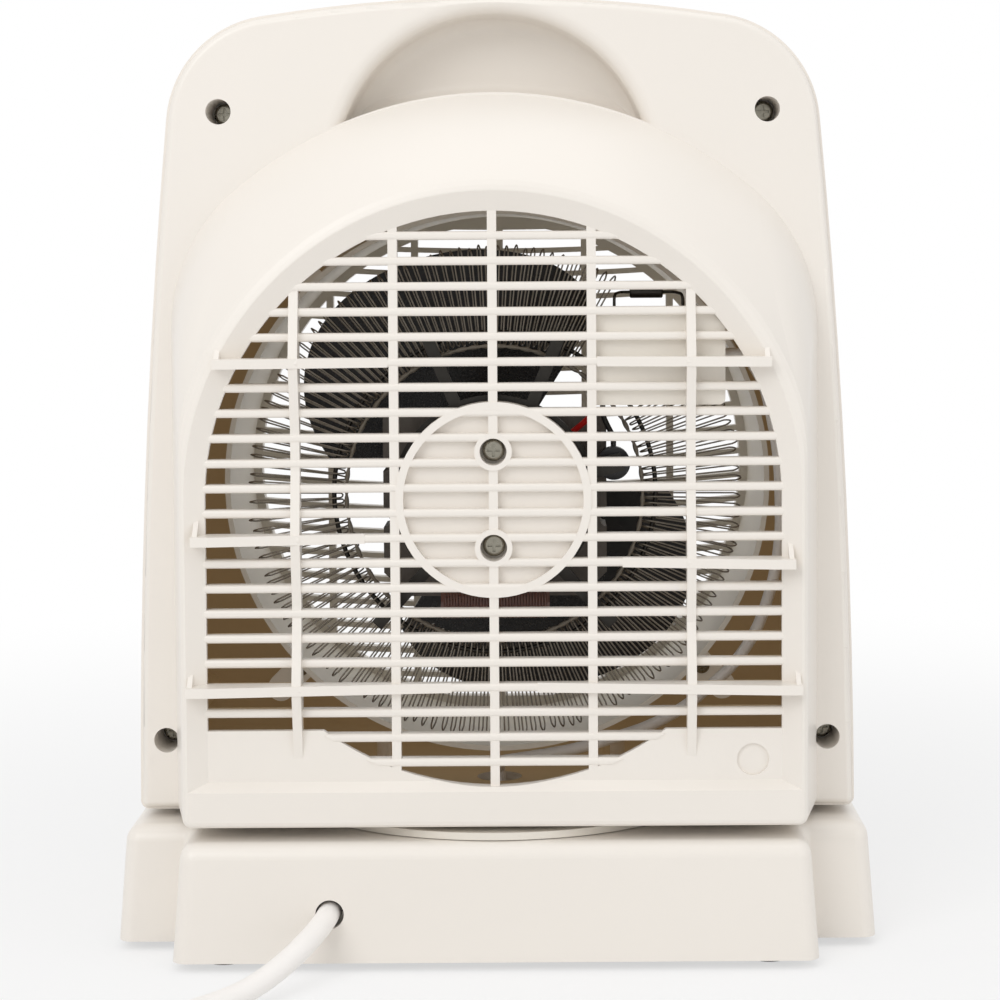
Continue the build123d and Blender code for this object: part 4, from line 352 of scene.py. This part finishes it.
class HEATER_OT_mains_lead(bpy.types.Operator):
    """Lay the mains lead, its coil and the ribs of its strain relief"""
    bl_idname = "heater.mains_lead"
    bl_label = "Mains lead"

    def execute(self, context):
        sizes = context.scene.heater_sizes
        end_turn = 360 * (COIL_TURNS_IN + COIL_TURNS_OUT) + 180
        steps = int(end_turn / COIL_STEP)
        points = ROUTE + [coil_point(number * COIL_STEP) for number in range(steps + 1)]
        end = coil_point(end_turn)
        points.append((end[0] - COIL_TAIL, end[1], end[2]))
        lead = wire_curve("mains_lead", [Vector(p) * MM for p in points], sizes.lead_radius, "NURBS",
                          sides=6)
        lead.data.resolution_u = 6
        dress(lead, "cord_sheath", "base", ("mains_cord", "cord_coil"))
        ribs = self.relief_ribs(Vector(points[-1]) * MM)
        dress(ribs, "plug_plastic", "base")
        return {"FINISHED"}

    def relief_ribs(self, start):
        """Ribs round the tapered strain relief of the plug."""
        steps, sides = 72, 28
        turns = [math.tau * side / sides for side in range(sides)]
        rings = []
        for step in range(steps + 1):
            share = step / steps
            along = RELIEF_START + RELIEF_LENGTH * share
            swell = max(0.0, math.sin(share * math.pi * RIB_HALF_WAVES)) ** 0.7 if step < steps else 0
            radius = (RELIEF_RADIUS + math.tan(math.radians(RELIEF_TAPER)) * along + RIB_HEIGHT * swell) * MM
            rings.append([(start.x - along * MM, start.y + radius * math.cos(turn),
                           start.z + radius * math.sin(turn)) for turn in turns])
        return mesh_from_rings("relief_ribs", rings)


# ---- Heating element

WIRE_FIRST_TURN = 148.75
WIRE_LAST_TURN = 481.25
WIRE_INNER = 51.4 * MM
WIRE_OUTER = 80.8 * MM
WIRE_DEPTH = 46 * MM
WIRE_HALF_SPREAD = 2.3 * MM
WIRE_BEND = 58 * MM
WIRE_TIP = 2.0 * MM
WIRE_FOOT = 1.2 * MM
LOOP_SHARE = 0.42
TERMINAL_FACE = 64 * MM
CARRIER_RADIUS = 54 * MM
CARRIER_THICKNESS = 0.8 * MM
BEAD_RING_RADIUS = 49.4 * MM
BEAD_RING_DEPTH = 51.5 * MM
BEAD_PAIRS = 36


class HEATER_OT_element(bpy.types.Operator):
    """Wind the heating wire in long flat loops and thread its two rings"""
    bl_idname = "heater.element"
    bl_label = "Heating element"

    def execute(self, context):
        sizes = context.scene.heater_sizes
        chance = random.Random(7)
        loops = sizes.wire_loops
        step = (WIRE_LAST_TURN - WIRE_FIRST_TURN) / (loops + 0.5)
        gap = step * LOOP_SHARE
        points = [on_fan_axis(WIRE_FIRST_TURN, TERMINAL_FACE, WIRE_DEPTH + WIRE_HALF_SPREAD)]
        for number in range(loops):
            turn = WIRE_FIRST_TURN + step * (number + 0.5)
            points += self.loop(chance, turn, gap, step)
        points.append(on_fan_axis(WIRE_LAST_TURN, TERMINAL_FACE, WIRE_DEPTH - WIRE_HALF_SPREAD))
        wire = wire_curve("heating_wire", points, sizes.wire_radius, sides=1)
        dress(wire, "alloy_wire", "housing", ("element_winding",))
        carrier = wire_curve("element_carrier_ring",
                             [on_fan_axis(360 * k / 96, CARRIER_RADIUS, WIRE_DEPTH) for k in range(96)],
                             CARRIER_THICKNESS, cyclic=True)
        dress(carrier, "steel", "housing")
        beads = self.beaded_ring()
        dress(beads, "ceramic", "housing", ("element_rings",))
        return {"FINISHED"}

    def loop(self, chance, turn, gap, step):
        """One long loop: out along the front, round the tip, back along the rear, twisted at the foot."""
        lean = chance.uniform(-0.3, 0.3) * gap
        outer = WIRE_OUTER + chance.uniform(-0.7, 0.5) * MM
        front = WIRE_DEPTH - WIRE_HALF_SPREAD + chance.uniform(-0.3, 0.3) * MM
        rear = WIRE_DEPTH + WIRE_HALF_SPREAD + chance.uniform(-0.3, 0.3) * MM
        foot = WIRE_INNER + chance.uniform(-1.1, 0.9) * MM
        middle = (front + rear) / 2
        path = [on_fan_axis(turn, foot + 1.4 * MM, front),
                on_fan_axis(turn + lean * 0.3, WIRE_BEND, front),
                on_fan_axis(turn + lean, outer, front)]
        for part in range(1, 6):
            angle = math.pi * part / 6
            path.append(on_fan_axis(turn + lean + gap * part / 6, outer + math.sin(angle) * WIRE_TIP,
                                    middle - math.cos(angle) * WIRE_HALF_SPREAD))
        path += [on_fan_axis(turn + lean + gap, outer, rear),
                 on_fan_axis(turn + lean * 0.3 + gap, WIRE_BEND, rear),
                 on_fan_axis(turn + gap, foot + 1.6 * MM, rear)]
        for part in range(1, 5):
            angle = math.pi * part / 5
            path.append(on_fan_axis(turn + gap + (step - gap) * part / 5 + chance.uniform(-0.2, 0.2),
                                    foot - math.sin(angle) * WIRE_FOOT,
                                    middle + math.cos(angle) * WIRE_HALF_SPREAD))
        return path

    def beaded_ring(self):
        """Ring of small beads just inside the loops."""
        steps, sides = 720, 10
        rings = []
        for step in range(steps):
            turn = 360 * step / steps
            thick = (0.45 + 0.35 * abs(math.sin(math.radians(turn * BEAD_PAIRS)))) * MM
            rings.append([on_fan_axis(turn, BEAD_RING_RADIUS + thick * math.cos(math.tau * side / sides),
                                      BEAD_RING_DEPTH + thick * math.sin(math.tau * side / sides))
                          for side in range(sides)])
        return mesh_from_rings("element_beaded_ring", rings, closed_loop=True)


# ---- Motor winding

class HEATER_OT_motor_winding(bpy.types.Operator):
    """Wind the visible outer layer of the motor's coil"""
    bl_idname = "heater.motor_winding"
    bl_label = "Motor winding"

    def execute(self, context):
        low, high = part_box("stator_winding")
        turns = context.scene.heater_sizes.winding_turns
        fill = 0.97
        radius = (high[0] - low[0]) / turns / 2 * fill
        # How far the wires stand out of the plain winding
        proud = 0.37 * MM
        half_depth = (high[1] - low[1]) / 2 - radius + proud
        half_height = (high[2] - low[2]) / 2 - radius + proud
        middle = Vector([(a + b) / 2 for a, b in zip(low, high)])
        corner = 2.0 * MM
        section = []
        for side, (sy, sz) in enumerate(((1, 1), (-1, 1), (-1, -1), (1, -1))):
            for part in range(5):
                angle = math.pi / 2 * (side + part / 4)
                section.append((sy * (half_depth - corner) + corner * math.cos(angle),
                                sz * (half_height - corner) + corner * math.sin(angle)))
        points = []
        start = low[0] + radius
        travel = high[0] - low[0] - 2 * radius
        total = turns * len(section)
        for index in range(total):
            y, z = section[index % len(section)]
            points.append(Vector((start + travel * index / total, middle.y + y, middle.z + z)))
        wires = wire_curve("motor_winding_wires", points, radius, sides=2)
        dress(wires, "enamel", "housing")
        return {"FINISHED"}


# ---- Dial marks

MARK_REACH = 18.1 * MM
MARK_SIZE = 3.0 * MM
MARK_RAISE = 0.06 * MM
MARK_SINK = 0.05 * MM
POINTER_HALF_WIDTH = 0.5 * MM
POINTER_HALF_DEPTH = 0.1 * MM
POINTER_ENDS = (6.0 * MM, 12.5 * MM)


class HEATER_OT_dial_marks(bpy.types.Operator):
    """Print plain numbers round the two knobs and a line on each knob"""
    bl_idname = "heater.dial_marks"
    bl_label = "Dial marks"

    def execute(self, context):
        panel_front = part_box("control_panel")[0][1]
        for knob, x, words, sweep in (("thermostat", -KNOB_OFFSET, "0123456", 300),
                                      ("selector", KNOB_OFFSET, "0123", 180)):
            for number, word in enumerate(words):
                turn = math.radians(90 - sweep * number / (len(words) - 1))
                self.number(f"{knob}_mark_{word}", word, x, turn, panel_front)
            self.pointer(knob, x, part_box(f"{knob}_knob")[0][1])
        return {"FINISHED"}

    def number(self, name, word, x, turn, depth):
        """One small number, raised a little from the panel."""
        data = bpy.data.curves.new(name, "FONT")
        data.body = word
        data.size = MARK_SIZE
        data.extrude = MARK_RAISE
        data.align_x = "CENTER"
        data.align_y = "CENTER"
        text = new_object(name + "_text", data)
        place = (x + MARK_REACH * math.cos(turn), depth - MARK_SINK,
                 KNOB_HEIGHT + MARK_REACH * math.sin(turn))
        mesh = bpy.data.meshes.new_from_object(text.evaluated_get(bpy.context.evaluated_depsgraph_get()))
        mesh.transform(Matrix.Translation(place) @ Matrix.Rotation(math.pi / 2, 4, "X"))
        bpy.data.objects.remove(text)
        dress(new_object(name, mesh), "dial_print", "housing")

    def pointer(self, knob, x, depth):
        """Short line on the grip of a knob."""
        corners = [(x + side * POINTER_HALF_WIDTH, depth - MARK_RAISE + level * POINTER_HALF_DEPTH,
                    KNOB_HEIGHT + end)
                   for side in (-1, 1) for level in (-1, 1) for end in POINTER_ENDS]
        faces = [(0, 1, 3, 2), (4, 6, 7, 5), (0, 4, 5, 1), (2, 3, 7, 6), (0, 2, 6, 4), (1, 5, 7, 3)]
        data = bpy.data.meshes.new(f"{knob}_pointer")
        data.from_pydata(corners, [], faces)
        dress(new_object(f"{knob}_pointer", data), "dial_print", knob)


# ---- Finishes on the CAD pieces

BODY_MIDDLE = Vector((0, -12 * MM, FAN_AXIS))
SHROUD_BACK = 69.5 * MM
SHROUD_HALF_WIDTH = 107.5 * MM
SHROUD_INNER = 95 * MM
SHROUD_OUTER = 131.5 * MM


class HEATER_OT_finishes(bpy.types.Operator):
    """Give every CAD piece its finish"""
    bl_idname = "heater.finishes"
    bl_label = "Finishes"

    def execute(self, context):
        make_finishes(context.scene.heater_colours)
        for entry in frame["record"]["subparts"]:
            piece = frame["nodes"][entry["node"]]
            piece.data.materials.clear()
            piece.data.materials.append(finishes[entry["material_slot"]])
        # The supply inside has the pale sheath of the mains lead
        for name in ("inner_lead", "supply_lead"):
            frame["nodes"][name].data.materials[0] = finishes["cord_sheath"]
        # Faces inside the housing and in the rear cover's shroud get the painted inner shade.
        for name in ("front_housing", "rear_cover"):
            self.paint_inner_shade(frame["nodes"][name].data, name == "front_housing")
        return {"FINISHED"}

    def paint_inner_shade(self, data, is_housing):
        """Gives the faces that look into the body the painted inner shade: a darker brown with a faint warm
        glow in place of the shade and bounced light there.
        """
        data.materials.append(finishes["painted_inner_shade"])
        for face in data.polygons:
            place = face.center
            inward = face.normal.dot(BODY_MIDDLE - place) > 0.2 * (BODY_MIDDLE - place).length
            reach = math.hypot(place.x, place.z - FAN_AXIS)
            in_shroud = (place.y < SHROUD_BACK and abs(place.x) < SHROUD_HALF_WIDTH
                         and SHROUD_INNER < reach < SHROUD_OUTER)
            if inward and (is_housing or in_shroud):
                face.material_index = 1


# ---- Stage

FLOOR_HALF = 6
FLOOR_FADE = (0.15, 0.75)
CAMERA_PLACE = (-0.0171, 0.8447, 0.2339)
CAMERA_SHIFT = (-0.0491, -0.1128)
CAMERA_YAW = -0.093
CAMERA_PITCH = 3.25
CAMERA_ROLL = -0.318


def seen_directly(tree):
    """Socket that is 1 for rays which show the surroundings and 0 for those that light the heater."""
    rays = tree.nodes.new("ShaderNodeLightPath")
    clear = add_math(tree, "MAXIMUM", rays.outputs["Is Glossy Ray"], rays.outputs["Is Transmission Ray"])
    return add_math(tree, "MAXIMUM", rays.outputs["Is Camera Ray"], clear)


def stage_material(name, colour, glow):
    """Pale material that looks even to the camera and keeps part of the shadow."""
    material = bpy.data.materials.new(name)
    material.use_nodes = True
    tree = material.node_tree
    tree.nodes.clear()
    out = tree.nodes.new("ShaderNodeOutputMaterial")
    diffuse = tree.nodes.new("ShaderNodeBsdfDiffuse")
    diffuse.inputs["Color"].default_value = (*colour, 1)
    emission = tree.nodes.new("ShaderNodeEmission")
    emission.inputs["Color"].default_value = (1, 1, 1, 1)
    place = tree.nodes.new("ShaderNodeTexCoord").outputs["Object"]
    length = tree.nodes.new("ShaderNodeVectorMath")
    length.operation = "LENGTH"
    tree.links.new(place, length.inputs[0])
    fade = tree.nodes.new("ShaderNodeMapRange")
    fade.interpolation_type = "SMOOTHSTEP"
    fade.inputs["From Min"].default_value, fade.inputs["From Max"].default_value = FLOOR_FADE
    fade.inputs["To Min"].default_value = glow
    tree.links.new(length.outputs["Value"], fade.inputs["Value"])
    mix = tree.nodes.new("ShaderNodeMixShader")
    share = add_math(tree, "MULTIPLY", seen_directly(tree), fade.outputs["Result"])
    tree.links.new(share, mix.inputs["Fac"])
    tree.links.new(diffuse.outputs[0], mix.inputs[1])
    tree.links.new(emission.outputs[0], mix.inputs[2])
    tree.links.new(mix.outputs[0], out.inputs["Surface"])
    return material


def area_lamp(name, place, target, size, power):
    """Soft square lamp that points at a target."""
    data = bpy.data.lights.new(name, "AREA")
    data.shape = "SQUARE"
    data.size = size
    data.energy = power
    lamp = new_object(name, data)
    way = Vector(target) - Vector(place)
    lamp.matrix_world = Matrix.Translation(place) @ way.to_track_quat("-Z", "Y").to_matrix().to_4x4()


class HEATER_OT_stage(bpy.types.Operator):
    """Set the floor, the room light, the lamps and the camera"""
    bl_idname = "heater.stage"
    bl_label = "Stage"

    def execute(self, context):
        scene = context.scene
        sizes = scene.heater_sizes
        data = bpy.data.meshes.new("floor")
        corners = [(x * FLOOR_HALF, y * FLOOR_HALF, 0) for x, y in ((-1, -1), (1, -1), (1, 1), (-1, 1))]
        data.from_pydata(corners, [], [(0, 1, 2, 3)])
        data.materials.append(stage_material("floor_finish", (0.86, 0.86, 0.86), 0.6))
        floor = new_object("floor", data)
        self.room_light(scene, sizes)
        target = (0, 0.05, 0.16)
        area_lamp("key_lamp", (0.75, 1.35, 1.05), target, 0.9, sizes.key_power)
        area_lamp("top_lamp", (-0.1, 0.25, 1.5), target, 1.2, sizes.key_power * 0.4)
        area_lamp("fill_lamp", (-1.2, 0.9, 0.5), target, 1.0, sizes.key_power * 0.25)
        self.camera(scene, sizes)
        scene.view_settings.view_transform = "Standard"
        return {"FINISHED"}

    def room_light(self, scene, sizes):
        """White to the camera, softer on the object."""
        world = scene.world or bpy.data.worlds.new("room")
        scene.world = world
        world.use_nodes = True
        tree = world.node_tree
        tree.nodes.clear()
        out = tree.nodes.new("ShaderNodeOutputWorld")
        background = tree.nodes.new("ShaderNodeBackground")
        background.inputs["Color"].default_value = (1, 1, 1, 1)
        rest = add_math(tree, "MULTIPLY", seen_directly(tree), 1 - sizes.room_level)
        level = add_math(tree, "ADD", sizes.room_level, rest)
        tree.links.new(level, background.inputs["Strength"])
        tree.links.new(background.outputs[0], out.inputs["Surface"])

    def camera(self, scene, sizes):
        """Camera at the photograph's place and angle, behind the heater."""
        data = bpy.data.cameras.new("camera")
        data.lens = sizes.lens
        data.sensor_width = 36
        camera = new_object("camera", data)
        data.shift_x, data.shift_y = CAMERA_SHIFT
        yaw = math.radians(CAMERA_YAW)
        pitch = math.radians(CAMERA_PITCH)
        way = Vector((math.sin(yaw) * math.cos(pitch), -math.cos(yaw) * math.cos(pitch), -math.sin(pitch)))
        turn = way.to_track_quat("-Z", "Y").to_matrix().to_4x4()
        camera.matrix_world = (Matrix.Translation(CAMERA_PLACE) @ turn
                               @ Matrix.Rotation(math.radians(CAMERA_ROLL), 4, "Z"))
        scene.camera = camera


class HEATER_PT_panel(bpy.types.Panel):
    """Buttons for each group of pieces"""
    bl_idname = "HEATER_PT_panel"
    bl_label = "Fan heater"
    bl_space_type = "VIEW_3D"
    bl_region_type = "UI"
    bl_category = "Heater"

    def draw(self, context):
        for operator in OPERATORS:
            self.layout.operator(operator.bl_idname)
        for settings in (context.scene.heater_sizes, context.scene.heater_colours):
            for name in settings.__annotations__:
                self.layout.prop(settings, name)


OPERATORS = (HEATER_OT_stage, HEATER_OT_finishes, HEATER_OT_mains_lead, HEATER_OT_element,
             HEATER_OT_motor_winding, HEATER_OT_dial_marks)
CLASSES = (HeaterColours, HeaterSizes, *OPERATORS, HEATER_PT_panel)


def register():
    for cls in CLASSES:
        bpy.utils.register_class(cls)
    bpy.types.Scene.heater_colours = PointerProperty(type=HeaterColours)
    bpy.types.Scene.heater_sizes = PointerProperty(type=HeaterSizes)


def unregister():
    del bpy.types.Scene.heater_sizes
    del bpy.types.Scene.heater_colours
    for cls in reversed(CLASSES):
        bpy.utils.unregister_class(cls)


def main():
    register()
    bpy.ops.heater.stage()
    bpy.ops.heater.finishes()
    bpy.ops.heater.mains_lead()
    bpy.ops.heater.element()
    bpy.ops.heater.motor_winding()
    bpy.ops.heater.dial_marks()


if __name__ == "__main__":
    main()
